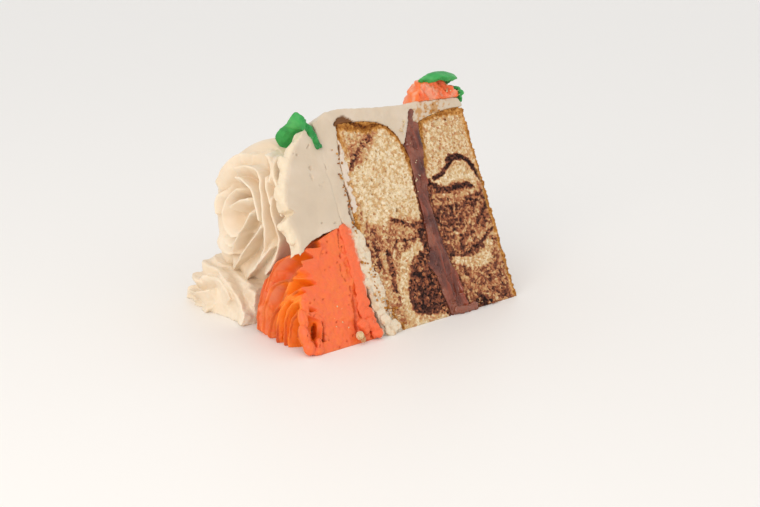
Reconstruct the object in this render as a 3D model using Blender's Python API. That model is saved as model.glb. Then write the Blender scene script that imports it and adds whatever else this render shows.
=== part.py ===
"""A cut slice of a two-layer marble cake with piped buttercream roses, lying on one of its cut faces.

Units are metres, +Z is up. The cake's own axis lies along X at the slice's tip, so a point of the cake is given by
its height above the cake's base, its radius from the cake's axis and its angle round that axis. Angle 0 is the cut
face that the slice rests on, and SLICE_ANGLE is the cut face that shows.
"""

import math

import bmesh
import bpy
import numpy as np
from mathutils import Matrix, Vector, noise

# The slice.
SLICE_ANGLE = math.radians(64)
CAKE_HEIGHT = 0.100  # with its top coat of icing
CAKE_RADIUS = 0.108  # with its side coat of icing
SPONGE_RADIUS = 0.102
GAP = 0.0004  # between pieces that touch
FOOTPRINT_MIDDLE = Vector((-0.0689, 0.0609, 0))  # from the tip of the slice's lowest layer
COLUMNS = 12  # slices across the cut face, and as many round the cake's axis
PIPED_OFF = 0.0012  # from the coat's top and side to the roses piped on them

# Outlines in the cut face, each a list of (height, radius) from the cake's axis outwards.
BOTTOM_SPONGE_TOP = [(0.0320, 0), (0.0365, 0.012), (0.0395, 0.036), (0.0395, 0.063), (0.0360, 0.082), (0.0330, 0.0975)]
TOP_SPONGE_BASE = [(0.0480, 0), (0.0505, 0.024), (0.0490, 0.042), (0.0475, 0.064), (0.0460, 0.080), (0.0478, 0.0880)]
TOP_SPONGE_TOP = [(0.0800, 0), (0.0870, 0.012), (0.0910, 0.026), (0.0905, 0.050), (0.0900, 0.080), (0.0855, 0.1015)]
ICING_TOP = [
    (0.0920, 0), (0.0930, 0.014), (0.0940, 0.028), (0.0944, 0.042), (0.0948, 0.052), (0.0985, 0.058), (0.1000, 0.068),
    (0.1000, 0.084), (0.0988, 0.1040),
]
# Outlines in the cut face that run along the cake's side, from the base up.
BOTTOM_SPONGE_SIDE = [(0.0, SPONGE_RADIUS), (0.012, 0.1016), (0.024, 0.0997), (0.0330, 0.0975)]
FILLING_SIDE = [(0.0334, 0.0966), (0.0368, 0.1000), (0.0420, 0.0965), (0.0470, 0.0870)]
TOP_SPONGE_SIDE = [(0.0478, 0.0880), (0.0510, 0.0940), (0.0560, 0.0985), (0.0640, 0.1010), (0.0760, 0.1020), (0.0855, 0.1015)]
ICING_SIDE = [
    (0.0, 0.1072), (0.020, 0.1078), (0.050, 0.1078), (0.066, 0.1083), (0.080, 0.1100), (0.0930, 0.1088), (0.0988, 0.1040),
]

# Piped flowers. Each petal's edge is a spiral line round the flower's heart: (angle where it starts, angle where it ends,
# distance from the heart at its start, middle and end). Angles are in degrees and rise clockwise as the flower is
# looked at; distances are shares of the flower's radius. A petal's edge is a crest, and the icing dips between crests.
WHITE_ROSE = {
    "radius": 0.0375, "height": 0.0290, "fullness": 2.8, "heart": (-0.0005, 0.0050), "dip": 0.0052, "reach": 0.0042,
    "petals": [
        (150, 300, 0.30, 0.14, 0.62), (95, -70, 0.32, 0.33, 0.32), (0, 130, 0.20, 0.15, 0.30),
        (60, 182, 0.46, 0.40, 0.32), (182, 300, 0.33, 0.34, 0.84), (50, 245, 0.56, 0.50, 0.58),
        (195, 285, 0.58, 0.56, 0.95), (66, 250, 0.86, 0.66, 0.74), (104, 180, 0.96, 0.76, 0.70),
        (345, 295, 0.76, 0.58, 0.44), (330, 296, 0.88, 0.80, 0.84), (20, -40, 0.66, 0.60, 0.62),
    ],
}
LOWER_ROSE = {
    "radius": 0.0330, "height": 0.0405, "fullness": 2.6, "heart": (0.000, -0.004), "dip": 0.0045, "reach": 0.0042,
    "lean": (-0.16, 0.0),
    "petals": [
        (20, 150, 0.30, 0.36, 0.44), (70, 205, 0.56, 0.50, 0.62), (-20, 100, 0.62, 0.66, 0.78),
        (80, 190, 0.90, 0.78, 0.80), (-30, 60, 0.86, 0.90, 0.98), (180, 320, 0.30, 0.24, 0.40),
    ],
}
CENTRE_ROSETTE = {
    "radius": 0.0550, "height": 0.0400, "fullness": 3.0, "heart": (0.0, 0.0), "dip": 0.0050, "reach": 0.0038,
    "lean": (0.11, -0.19),
    "petals": [
        (-30, 100, 0.05, 0.17, 0.30), (-40, 100, 0.24, 0.32, 0.42), (-30, 100, 0.28, 0.42, 0.50),
        (-30, 100, 0.43, 0.49, 0.56), (-30, 100, 0.68, 0.62, 0.60), (30, 100, 0.70, 0.75, 0.79),
        (-30, 45, 0.87, 0.84, 0.86), (40, 100, 0.88, 0.93, 1.00),
    ],
}
BASE_ROSETTE = {
    "radius": 0.0150, "height": 0.0130, "fullness": 2.4, "heart": (0.0, 0.001), "dip": 0.0024, "reach": 0.0022,
    "petals": [
        (0, 300, 0.12, 0.22, 0.36), (40, 250, 0.46, 0.50, 0.56), (230, 420, 0.50, 0.56, 0.60),
        (20, 180, 0.74, 0.76, 0.82), (160, 330, 0.74, 0.80, 0.86), (310, 420, 0.76, 0.80, 0.84),
    ],
}
# The white rose that the shown cut went through: its outline in the cut face, from its inner end to its outer one.
CUT_ROSE_FOOT = [(0.1012, 0.0554), (0.1012, 0.0730), (0.1012, 0.0905)]
CUT_ROSE_CREST = [
    (0.1270, 0.0465), (0.1325, 0.0520), (0.1340, 0.0570), (0.1315, 0.0610), (0.1238, 0.0655), (0.1290, 0.0715),
    (0.1275, 0.0780), (0.1230, 0.0845), (0.1168, 0.0905), (0.1180, 0.0950), (0.1120, 0.0985), (0.1054, 0.1008),
]
CUT_ROSE_OUTSIDE = [(0.1012, 0.0905), (0.1032, 0.0958), (0.1054, 0.1008)]
CUT_ROSE_DEPTH = 0.0085
BASE_ROSETTE_ANGLES = (61, 37, 13)

COLOURS = {
    "sponge": (0.72, 0.52, 0.27, 1),
    "fudge": (0.13, 0.06, 0.05, 1),
    "white_icing": (0.83, 0.74, 0.63, 1),
    "orange_icing": (0.86, 0.20, 0.07, 1),
    "green_icing": (0.02, 0.27, 0.07, 1),
}


def clear_scene():
    for obj in list(bpy.data.objects):
        bpy.data.objects.remove(obj)


def new_collection(name):
    collection = bpy.data.collections.new(name)
    bpy.context.scene.collection.children.link(collection)
    return collection


def material(name, roughness):
    made = bpy.data.materials.get(name)
    if made is None:
        made = bpy.data.materials.new(name)
        made.use_nodes = True
        shader = made.node_tree.nodes["Principled BSDF"]
        shader.inputs["Base Color"].default_value = COLOURS[name]
        shader.inputs["Roughness"].default_value = roughness
        made.diffuse_color = COLOURS[name]
    return made


def add_object(name, bm, finish, roughness=0.6):
    """A named piece of the cake from a bmesh, in the part's collection."""
    mesh = bpy.data.meshes.new(name)
    bm.to_mesh(mesh)
    bm.free()
    mesh.materials.append(material(finish, roughness))
    mesh.shade_smooth()
    mesh.set_sharp_from_angle(angle=math.radians(35))
    obj = bpy.data.objects.new(name, mesh)
    cake.objects.link(obj)
    return obj


def cake_point(height, radius, angle):
    return Vector((-height, radius * math.cos(angle), radius * math.sin(angle)))


def along(outline, t):
    """The point at share t of a smooth curve through an outline's points (Catmull-Rom)."""
    last = len(outline) - 1
    at = min(max(t, 0.0), 1.0) * last
    i = min(int(at), last - 1)
    f = at - i
    p0, p1, p2, p3 = (Vector(outline[min(max(k, 0), last)]) for k in (i - 1, i, i + 1, i + 2))
    return 0.5 * (2 * p1 + (p2 - p0) * f + (2 * p0 - 5 * p1 + 4 * p2 - p3) * f**2 + (3 * p1 - p0 - 3 * p2 + p3) * f**3)


def radius_at(outline, height):
    """The radius of an outline that runs up the cake's side, at a height."""
    for (h0, r0), (h1, r1) in zip(outline, outline[1:]):
        if height <= h1:
            return r0 + (r1 - r0) * (height - h0) / (h1 - h0)
    return outline[-1][1]


def patch(low, high, side, u, v):
    """A point of the cut face between two outlines that run outwards and one up the side (a Coons patch)."""
    inner_low, inner_high = Vector(low[0]), Vector(high[0])
    across = along(low, v).lerp(along(high, v), u)
    upwards = inner_low.lerp(inner_high, u).lerp(along(side, u), v)
    corners = inner_low.lerp(Vector(low[-1]), v).lerp(inner_high.lerp(Vector(high[-1]), v), u)
    return across + upwards - corners


def rough(point, size, depth):
    """A gentle unevenness at a point, with lumps of the given size."""
    return depth * noise.noise(point / size)


def sliced_block(cuts):
    """A unit cube with one corner at the origin, cut into even slices along each axis."""
    bm = bmesh.new()
    bmesh.ops.create_cube(bm, size=1.0, matrix=Matrix.Translation((0.5, 0.5, 0.5)))
    for axis, count in enumerate(cuts):
        normal = Vector((0, 0, 0))
        normal[axis] = 1
        for i in range(1, count):
            everything = bm.verts[:] + bm.edges[:] + bm.faces[:]
            bmesh.ops.bisect_plane(bm, geom=everything, plane_co=normal * i / count, plane_no=normal)
    return bm


def shaped_block(cuts, shape):
    """A sliced block whose points are moved by shape(u, v, w)."""
    bm = sliced_block(cuts)
    for vert in bm.verts:
        vert.co = shape(*vert.co)
    bmesh.ops.remove_doubles(bm, verts=bm.verts[:], dist=1e-5)
    bmesh.ops.recalc_face_normals(bm, faces=bm.faces[:])
    return bm


def layer(name, low, high, side, cuts, finish):
    """A layer of the slice: its outline in the cut face, swept round the cake's axis through the slice's angle."""

    def shape(u, v, w):
        height, radius = patch(low, high, side, u, v)
        point = cake_point(height, radius, w * SLICE_ANGLE)
        if w == 1 and 0 < v < 1:
            point += cut_normal * (rough(point, 0.012, 0.0004) - 0.0003)
        return point

    return add_object(name, shaped_block(cuts, shape), finish, 0.85)


def icing_coat():
    """The coat over the cake's top and down its side, one shell of uneven thickness over the layers' outlines."""
    over_top = [along(TOP_SPONGE_TOP, i / COLUMNS) + Vector((GAP, 0)) for i in range(COLUMNS)]
    up_side = [
        along(side, i / rows) + Vector((0, GAP * 1.5))
        for side, rows in ((BOTTOM_SPONGE_SIDE, 5), (FILLING_SIDE, 2), (TOP_SPONGE_SIDE, 6))
        for i in range(rows + (rows < 6))
    ]
    under = over_top + [Vector((TOP_SPONGE_TOP[-1][0] + GAP, SPONGE_RADIUS))] + up_side[::-1]
    steps = len(under) - 1
    corner = len(over_top)

    def shape(u, v, w):
        i = round(u * steps)
        if i <= corner:
            over = along(ICING_TOP, i / corner)
        else:
            height = under[i].x * ICING_SIDE[-1][0] / under[corner].x
            over = Vector((height, radius_at(ICING_SIDE, height)))
            over += Vector((0, rough(cake_point(*over, w * SLICE_ANGLE), 0.022, 0.0007)))
        height, radius = under[i].lerp(over, v)
        return cake_point(height, radius, w * SLICE_ANGLE)

    return add_object("icing_coat", shaped_block((steps, 2, COLUMNS), shape), "white_icing", 0.5)


def petal_edges(flower):
    """Points along a flower's petal edges, as shares of its radius, and how far each one has opened."""
    points, opened = [], []
    heart = np.array(flower["heart"]) / flower["radius"]
    for start, end, near, middle, far in flower["petals"]:
        t = np.linspace(0, 1, 60)
        share = near * (1 - t) * (1 - 2 * t) + 4 * middle * t * (1 - t) + far * t * (2 * t - 1)
        angle = np.radians(start + (end - start) * t)
        ring = np.stack([np.cos(angle), np.sin(angle)], 1)
        points.append(heart * (1 - share[:, None]) + share[:, None] * ring)
        opened.append(np.clip(0.35 + 2.5 * t, 0, 1))
    return np.concatenate(points), np.concatenate(opened)


def flower_heights(flower, places):
    """The height of a piped flower over its base at places given as shares of its radius."""
    edges, opened = petal_edges(flower)
    gap = np.hypot(places[:, None, 0] - edges[None, :, 0], places[:, None, 1] - edges[None, :, 1])
    nearest = gap.min(1) * flower["radius"]
    share = np.clip((nearest - 0.0006) / flower["reach"], 0, 1)
    from_heart = np.hypot(*(places - np.array(flower["heart"]) / flower["radius"]).T)
    dip = flower["dip"] * np.sin(share * math.pi / 2) ** 0.9 * np.clip(0.35 + 1.5 * from_heart, 0, 1)
    rim = np.clip(np.hypot(places[:, 0], places[:, 1]), 0, 1)
    dome = (1 - rim ** flower["fullness"]) ** (1 / flower["fullness"])
    lean = places @ np.array(flower.get("lean", (0, 0))) * flower["radius"]
    return np.maximum(dome * (flower["height"] + lean) - dip * np.clip(1.6 * dome, 0, 1), 0)


def flower_mesh(flower, slices):
    """A piped flower on its base, +Z up: a square grid drawn into a disc, raised to the flower's heights."""
    bm = bmesh.new()
    bmesh.ops.create_grid(bm, x_segments=slices, y_segments=slices, size=1)
    square = np.array([vert.co[:2] for vert in bm.verts])
    places = square * np.sqrt(1 - square[:, ::-1] ** 2 / 2)
    heights = flower_heights(flower, places)
    for vert, place, height in zip(bm.verts, places, heights):
        x, y = place * flower["radius"]
        vert.co = (x, y, height)
    bmesh.ops.smooth_vert(bm, verts=bm.verts[:], factor=0.5, use_axis_x=True, use_axis_y=True, use_axis_z=True)
    rim = [edge for edge in bm.edges if edge.is_boundary]
    for edge in rim:
        for vert in edge.verts:
            vert.co.z = 0
    bmesh.ops.contextual_create(bm, geom=rim)
    bmesh.ops.recalc_face_normals(bm, faces=bm.faces[:])
    return bm


def cell(name, planes, size=0.3):
    """A block kept only on the inner side of each plane, given as (point, outward normal)."""
    bm = bmesh.new()
    bmesh.ops.create_cube(bm, size=size)
    for point, normal in planes:
        everything = bm.verts[:] + bm.edges[:] + bm.faces[:]
        cut = bmesh.ops.bisect_plane(bm, geom=everything, plane_co=point, plane_no=normal, clear_outer=True)
        edges = [item for item in cut["geom_cut"] if isinstance(item, bmesh.types.BMEdge)]
        bmesh.ops.edgenet_fill(bm, edges=edges)
    bmesh.ops.recalc_face_normals(bm, faces=bm.faces[:])
    mesh = bpy.data.meshes.new(name)
    bm.to_mesh(mesh)
    bm.free()
    obj = bpy.data.objects.new(name, mesh)
    cutters.objects.link(obj)
    obj.hide_render = True
    obj.display_type = "WIRE"
    return obj


def flower(name, spec, frame, planes, finish, slices, keep):
    """A piped flower set in place by frame, thinned to a share of its triangles and trimmed to its cell."""
    bm = flower_mesh(spec, slices)
    bm.transform(frame)
    bmesh.ops.recalc_face_normals(bm, faces=bm.faces[:])
    obj = add_object(name, bm, finish, 0.5)
    thin = obj.modifiers.new("thin", "DECIMATE")
    thin.ratio = keep
    trim = obj.modifiers.new("trim", "BOOLEAN")
    trim.operation = "INTERSECT"
    trim.solver = "EXACT"
    trim.object = cell(name + "_cell", planes)
    return obj


def cut_rose():
    """What is left of the rose that the shown cut went through: a slab behind the cut face, rounded at its back."""

    def shape(u, v, w):
        outline = patch(CUT_ROSE_FOOT, CUT_ROSE_CREST, CUT_ROSE_OUTSIDE, u, v)
        rounding = (1 - w) ** 1.6 * u
        outline.x -= (outline.x - CAKE_HEIGHT) * 0.22 * rounding
        outline.y += (0.075 - outline.y) * 0.10 * rounding
        depth = CUT_ROSE_DEPTH * (1 - w) * (1 - 0.55 * u) * (1 - 0.75 * v**3)
        return cake_point(*outline, SLICE_ANGLE) - cut_normal * depth

    return add_object("cut_rose", shaped_block((4, 30, 4), shape), "white_icing", 0.5)


def on_top(y, z, height=CAKE_HEIGHT):
    """A frame on the cake's top: x is drawn along +Y, y along +Z, and heights away from the cake's top, along -X."""
    return Matrix.Translation((-height, y, z)) @ Matrix(((0, 0, -1), (1, 0, 0), (0, 1, 0))).to_4x4()


def on_side(height, angle, radius=CAKE_RADIUS):
    """A frame on the cake's side: x is drawn up the cake, y round it, and heights away from its axis."""
    outward = Vector((0, math.cos(angle), math.sin(angle)))
    round_side = Vector((0, -math.sin(angle), math.cos(angle)))
    turn = Matrix((Vector((-1, 0, 0)), round_side, outward)).transposed().to_4x4()
    return Matrix.Translation(cake_point(height, radius, angle)) @ turn


def leaf(name, spine, across, width, thickness, waves, cupped=0.16):
    """A piped leaf along a spine of points, drawn out to both sides along across, creased and with wavy edges."""

    def shape(u, v, w):
        side = 2 * v - 1
        forward = (along(spine, min(u + 0.02, 1)) - along(spine, max(u - 0.02, 0))).normalized()
        face = across.cross(forward).normalized()
        half = width / 2 * max(math.sin(math.pi * min(1.0, 0.14 + 0.86 * u**0.85)) ** 0.75, 0.06)
        ripple = 0.4 * cupped * width * math.sin(waves * 2 * math.pi * u + 1.3 * side) * side * side
        cup = cupped * width * side * side * math.sin(math.pi * min(1, 0.1 + u))
        thick = thickness * (1 - 0.5 * abs(side)) * (1 - 0.4 * u)
        return along(spine, u) + across * (half * side) + face * (cup + ripple + thick * (w - 0.5))

    bm = shaped_block((8, 4, 1), shape)
    bmesh.ops.triangulate(bm, faces=bm.faces[:], quad_method="SHORT_EDGE")
    return add_object(name, bm, "green_icing", 0.45)


clear_scene()
cake = new_collection("marble_cake_slice")
cutters = new_collection("cutters")
helpers = new_collection("helpers")
cut_normal = Vector((0, -math.sin(SLICE_ANGLE), math.cos(SLICE_ANGLE)))

bottom_base = [(0.0, r) for h, r in BOTTOM_SPONGE_TOP[:-1]] + [(0.0, SPONGE_RADIUS)]
filling_base = [(h + GAP, r) for h, r in BOTTOM_SPONGE_TOP[:-1]] + [(0.0334, 0.0966)]
filling_top = [(h - GAP, r) for h, r in TOP_SPONGE_BASE[:-1]] + [(0.0470, 0.0870)]
layer("bottom_sponge", bottom_base, BOTTOM_SPONGE_TOP, BOTTOM_SPONGE_SIDE, (5, COLUMNS, COLUMNS), "sponge")
layer("fudge_filling", filling_base, filling_top, FILLING_SIDE, (2, COLUMNS, COLUMNS), "fudge")
layer("top_sponge", TOP_SPONGE_BASE, TOP_SPONGE_TOP, TOP_SPONGE_SIDE, (6, COLUMNS, COLUMNS), "sponge")
icing_coat()

above_coat = (Vector((-CAKE_HEIGHT - PIPED_OFF, 0, 0)), Vector((1, 0, 0)))
above_low_coat = (Vector((-0.0953, 0, 0)), Vector((1, 0, 0)))
floor_plane = (Vector((0, 0, 0)), Vector((0, 0, -1)))
shown_cut = (Vector((0, 0, 0)), cut_normal)
behind_cut_rose = (-cut_normal * 0.0088 + Vector((-CAKE_HEIGHT, 0, 0)), (cut_normal + Vector((0.13, 0, 0))).normalized())
rose_middle = Vector((0, 0.064, 0.046))
lower_middle = Vector((0, 0.074, -0.006))
to_rose = rose_middle.normalized()
to_lower = (lower_middle - rose_middle).normalized()
rose_side = (to_rose * 0.0460, to_rose)
to_leaf = Vector((0, -0.21, 0.978))
leaf_side = (rose_middle + to_leaf * 0.0345, to_leaf)
by_lower_rose = (Vector((0, 0.0503, 0)), Vector((0, 1, 0)))
lower_side = (rose_middle + to_lower * 0.0315, to_lower)
below_cut_rose = (cake_point(CAKE_HEIGHT, 0.0535, SLICE_ANGLE), Vector((-0.297, *(0.955 * cake_point(0, 1, SLICE_ANGLE).yz))))


def facing(plane, gap=0.0):
    """The same plane from its other side, moved off by a gap."""
    point, normal = plane
    return point + normal * gap, -normal


flower(
    "centre_rosette", CENTRE_ROSETTE, on_top(0, 0, 0.0950),
    [above_low_coat, floor_plane, shown_cut, rose_side, below_cut_rose, by_lower_rose], "orange_icing", 63, 0.42,
)
flower(
    "white_rose", WHITE_ROSE, on_top(rose_middle.y, rose_middle.z),
    [above_coat, floor_plane, facing(rose_side, GAP), behind_cut_rose, lower_side, leaf_side], "white_icing", 65, 0.28,
)
flower(
    "lower_rose", LOWER_ROSE, on_top(lower_middle.y, lower_middle.z),
    [above_coat, floor_plane, facing(lower_side, GAP), facing(by_lower_rose, GAP)],
    "white_icing", 49, 0.45,
)
cut_rose()
for number, degrees in enumerate(BASE_ROSETTE_ANGLES):
    angle = math.radians(degrees)
    outside = (cake_point(0, CAKE_RADIUS + PIPED_OFF, angle), -cake_point(0, 1, angle))
    flower(
        f"base_rosette_{number + 1}", BASE_ROSETTE, on_side(0.0160, angle),
        [outside, floor_plane, shown_cut], "orange_icing", 27, 0.36,
    )
top_spine = [(0.1013, 0.0952), (0.1020, 0.0988), (0.1036, 0.1024), (0.1062, 0.1057), (0.1100, 0.1085)]
top_spine = [cake_point(*point, SLICE_ANGLE) - cut_normal * 0.0012 for point in top_spine]
top_leaf = leaf("leaf_top", top_spine, cut_normal, 0.040, 0.0022, 1.5, 0.20)
trim = top_leaf.modifiers.new("trim", "BOOLEAN")
trim.operation = "INTERSECT"
trim.solver = "EXACT"
trim.object = cell("leaf_top_cell", [shown_cut, facing(leaf_side, GAP)])
for number, degrees in enumerate(BASE_ROSETTE_ANGLES):
    round_side = Vector((0, -math.sin(math.radians(degrees)), math.cos(math.radians(degrees))))
    over = [(0.0015, 0.1228), (0.0075, 0.1240), (0.0145, 0.1240), (0.0210, 0.1218)]
    under = [(-0.0004, 0.1092), (-0.0012, 0.1115), (-0.0018, 0.1140), (-0.0022, 0.1165)]
    for kind, points, width, cupped in (("over", over, 0.0100, 0.16), ("under", under, 0.0110, 0.05)):
        spine = [cake_point(*point, math.radians(degrees)) for point in points]
        leaf(f"leaf_{kind}_rosette_{number + 1}", spine, round_side, width, 0.0018, 1.5, cupped)

# The middle of the slice's footprint goes to the origin.
footprint = bpy.data.objects.new("footprint", None)
cake.objects.link(footprint)
footprint.location = -FOOTPRINT_MIDDLE
for obj in [*cake.objects, *cutters.objects]:
    if obj != footprint:
        obj.parent = footprint
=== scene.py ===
import math
from contextlib import contextmanager

import bpy
import numpy as np
from mathutils import Matrix, Vector, noise
from mathutils.bvhtree import BVHTree


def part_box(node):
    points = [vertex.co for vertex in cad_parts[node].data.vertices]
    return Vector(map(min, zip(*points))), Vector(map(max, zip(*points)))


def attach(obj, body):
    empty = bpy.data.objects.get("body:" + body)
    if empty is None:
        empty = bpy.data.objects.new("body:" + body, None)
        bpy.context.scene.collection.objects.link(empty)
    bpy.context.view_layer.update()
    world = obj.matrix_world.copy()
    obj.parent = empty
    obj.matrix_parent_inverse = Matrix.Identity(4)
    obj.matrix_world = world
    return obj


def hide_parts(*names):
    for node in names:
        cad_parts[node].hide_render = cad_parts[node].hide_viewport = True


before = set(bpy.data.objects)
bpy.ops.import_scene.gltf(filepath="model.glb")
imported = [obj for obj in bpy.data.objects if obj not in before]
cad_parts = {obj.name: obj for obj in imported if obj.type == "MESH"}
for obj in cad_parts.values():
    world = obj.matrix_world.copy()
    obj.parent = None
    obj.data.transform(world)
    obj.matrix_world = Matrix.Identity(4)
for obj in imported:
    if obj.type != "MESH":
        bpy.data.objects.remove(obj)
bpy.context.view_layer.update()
print("frame loaded:", len(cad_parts), "nodes")

mm = 0.001
mergeDistance = 0.01 * mm

# Lengths are in mm up to where a mesh is written. The cake's own axis lies along X at the slice's tip. A point of the
# cake has a height over the cake's base, a radius from its axis, and an angle: 0 is the cut face that the slice rests
# on, cutAngle the one that shows.
spongeLow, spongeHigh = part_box("bottom_sponge")
tip = Vector((spongeHigh.x, spongeLow.y, 0))
cutAngle = math.radians(64)
cutNormal = Vector((0, -math.sin(cutAngle), math.cos(cutAngle)))
alongCut = Vector((0, math.cos(cutAngle), math.sin(cutAngle)))  # from the tip outwards in the shown cut face


# Small helpers.

def cakePoint(height, radius, angle=cutAngle, behind=0.0):
    # the place in the scene of a point of the cake, which may lie behind the shown cut face
    return tip + Vector((-height, radius * math.cos(angle), radius * math.sin(angle))) * mm - cutNormal * behind * mm


def readVectors(items, kind):
    values = np.empty(len(items) * 3, np.float32)
    items.foreach_get(kind, values)
    return values.reshape(-1, 3).astype(float)


def readPoints(piece):
    return readVectors(piece.data.vertices, "co")


def readNormals(piece):
    return readVectors(piece.data.vertex_normals, "vector")


def writePoints(piece, points):
    piece.data.vertices.foreach_set("co", np.asarray(points, np.float32).ravel())
    piece.data.update()


def moveOut(piece, points, normals, distances, lowest=0.0):
    # moves each point out along its normal, but never under the floor
    points += normals * distances[:, None] * mm
    points[:, 2] = np.maximum(points[:, 2], lowest * mm)
    writePoints(piece, points)


def writeShares(piece, **shares):
    # each share is a number for every point, which a material reads by its name
    for name, values in shares.items():
        made = piece.data.attributes.new(name, "FLOAT", "POINT")
        made.data.foreach_set("value", np.asarray(values, np.float32))


def cakeCoordinates(points):
    # height, radius, and how far behind the shown cut face each point lies
    local = (points - np.array(tip)) / mm
    return -local[:, 0], np.hypot(local[:, 1], local[:, 2]), -(local @ np.array(cutNormal))


def lumps(points, size, octaves=2, seed=0.0):
    # soft noise of about -1 to 1 with lumps of the given size
    shifted = (np.atleast_2d(points) / (size * mm) + seed * 17.3).tolist()
    return np.array([noise.fractal(p, 0.9, 2.0, octaves) for p in shifted])


def cells(points, size, seed=0.0):
    # distance to the nearest cell middle, in cell sizes, and a steady number from 0 to 1 for that cell
    near, pick = [], []
    for p in (points / (size * mm) + seed * 9.1).tolist():
        distances, middles = noise.voronoi(p)
        near.append(distances[0])
        pick.append(noise.cell(middles[0] * 7.7) * 0.5 + 0.5)
    return np.array(near), np.array(pick)


def ease(low, high, values):
    # rises softly from 0 at low to 1 at high
    share = np.clip((values - low) / (high - low), 0, 1)
    return share * share * (3 - 2 * share)


def fade(low, high, values):
    return 1 - ease(low, high, values)


def facesCut(normals, low=0.5, high=0.95):
    # 1 where a surface faces out of the shown cut, 0 where it faces elsewhere
    return ease(low, high, normals @ np.array(cutNormal))


def lineDistance(heights, radii, line):
    # how far each place in the cut face lies from a line of (height, radius) points, and its share along it
    here = np.stack([heights, radii], 1)
    nearest, along = np.full(len(here), 1e9), np.zeros(len(here))
    for k, (a, b) in enumerate(zip(np.array(line[:-1], float), np.array(line[1:], float))):
        share = np.clip(((here - a) @ (b - a)) / ((b - a) @ (b - a)), 0, 1)
        away = np.hypot(*(here - a - share[:, None] * (b - a)).T)
        along = np.where(away < nearest, (k + share) / (len(line) - 1), along)
        nearest = np.minimum(nearest, away)
    return nearest, along


def alongLine(line, t):
    # the point at share t of a smooth curve through a line's points
    last = len(line) - 1
    at = min(max(t, 0.0), 1.0) * last
    i = min(int(at), last - 1)
    f = at - i
    p0, p1, p2, p3 = (line[min(max(k, 0), last)] for k in (i - 1, i, i + 1, i + 2))
    return 0.5 * (2 * p1 + (p2 - p0) * f + (2 * p0 - 5 * p1 + 4 * p2 - p3) * f**2 + (3 * p1 - p0 - 3 * p2 + p3) * f**3)


def makeActive(piece):
    bpy.ops.object.select_all(action="DESELECT")
    piece.select_set(True)
    bpy.context.view_layer.objects.active = piece


@contextmanager
def editing(piece, everything=False):
    # edit mode for one piece, and back
    makeActive(piece)
    bpy.ops.object.mode_set(mode="EDIT")
    if everything:
        bpy.ops.mesh.select_all(action="SELECT")
    yield
    bpy.ops.object.mode_set(mode="OBJECT")


def applyModifiers(piece):
    makeActive(piece)
    for modifier in list(piece.modifiers):
        bpy.ops.object.modifier_apply(modifier=modifier.name)


def remeshed(piece, voxel):
    modifier = piece.modifiers.new("even mesh", "REMESH")
    modifier.mode = "VOXEL"
    modifier.voxel_size = voxel * mm
    modifier.use_smooth_shade = True
    applyModifiers(piece)


def copyOfNode(node, name, voxel):
    # a CAD node's own shape, its corners merged, with an even fine mesh that can carry relief
    piece = bpy.data.objects.new(name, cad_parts[node].data.copy())
    bpy.context.scene.collection.objects.link(piece)
    piece.data.materials.clear()
    with editing(piece, everything=True):
        bpy.ops.mesh.remove_doubles(threshold=mergeDistance)
    for attribute in [a.name for a in piece.data.attributes if a.name.startswith("custom") or a.name == "UVMap"]:
        piece.data.attributes.remove(piece.data.attributes[attribute])
    remeshed(piece, voxel)
    return piece


def finerCut(piece):
    # splits the faces of the shown cut once, so that they can carry the finest relief
    with editing(piece):
        bpy.ops.mesh.select_all(action="DESELECT")
    faces = piece.data.polygons
    middles, normals = readVectors(faces, "center"), readVectors(faces, "normal")
    faces.foreach_set("select", (normals @ np.array(cutNormal) > 0.85) & (cakeCoordinates(middles)[2] < 1.2))
    with editing(piece):
        bpy.ops.mesh.subdivide(number_cuts=1)
    piece.data.shade_smooth()


def finishPiece(piece, material, slot, *nodes):
    piece.data.materials.clear()
    piece.data.materials.append(material)
    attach(piece, "root")
    if nodes:
        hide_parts(*nodes)
    print("made", piece.name, len(piece.data.polygons), "faces")


# Materials.

def linearColour(hexCode):
    parts = [int(hexCode[i:i + 2], 16) / 255 for i in (1, 3, 5)]
    return (*[p / 12.92 if p <= 0.04045 else ((p + 0.055) / 1.055) ** 2.4 for p in parts], 1)


def addNode(tree, kind, settings=None, inputs=None, steps=()):
    # one node with its settings; each input takes a value or the socket that feeds it, and steps colour a ramp
    node = tree.nodes.new("ShaderNode" + kind)
    for name, value in (settings or {}).items():
        setattr(node, name, value)
    for name, value in (inputs or {}).items():
        if isinstance(value, bpy.types.NodeSocket):
            tree.links.new(value, node.inputs[name])
        else:
            node.inputs[name].default_value = value
    if steps:
        elements = node.color_ramp.elements
        elements[0].position, elements[0].color = steps[0][0], linearColour(steps[0][1])
        elements[1].position, elements[1].color = steps[-1][0], linearColour(steps[-1][1])
        for position, hexCode in steps[1:-1]:
            elements.new(position).color = linearColour(hexCode)
    return node


# node settings used again and again
scaleAndAdd = {"operation": "MULTIPLY_ADD"}
blendColours = {"data_type": "RGBA"}


def startMaterial(name, surface):
    material = bpy.data.materials.new(name)
    material.use_nodes = True
    tree = material.node_tree
    shader = tree.nodes["Principled BSDF"]
    for socket, value in surface.items():
        shader.inputs[socket].default_value = value
    place = addNode(tree, "TexCoord").outputs["Object"]
    return material, tree, shader, place


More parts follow.
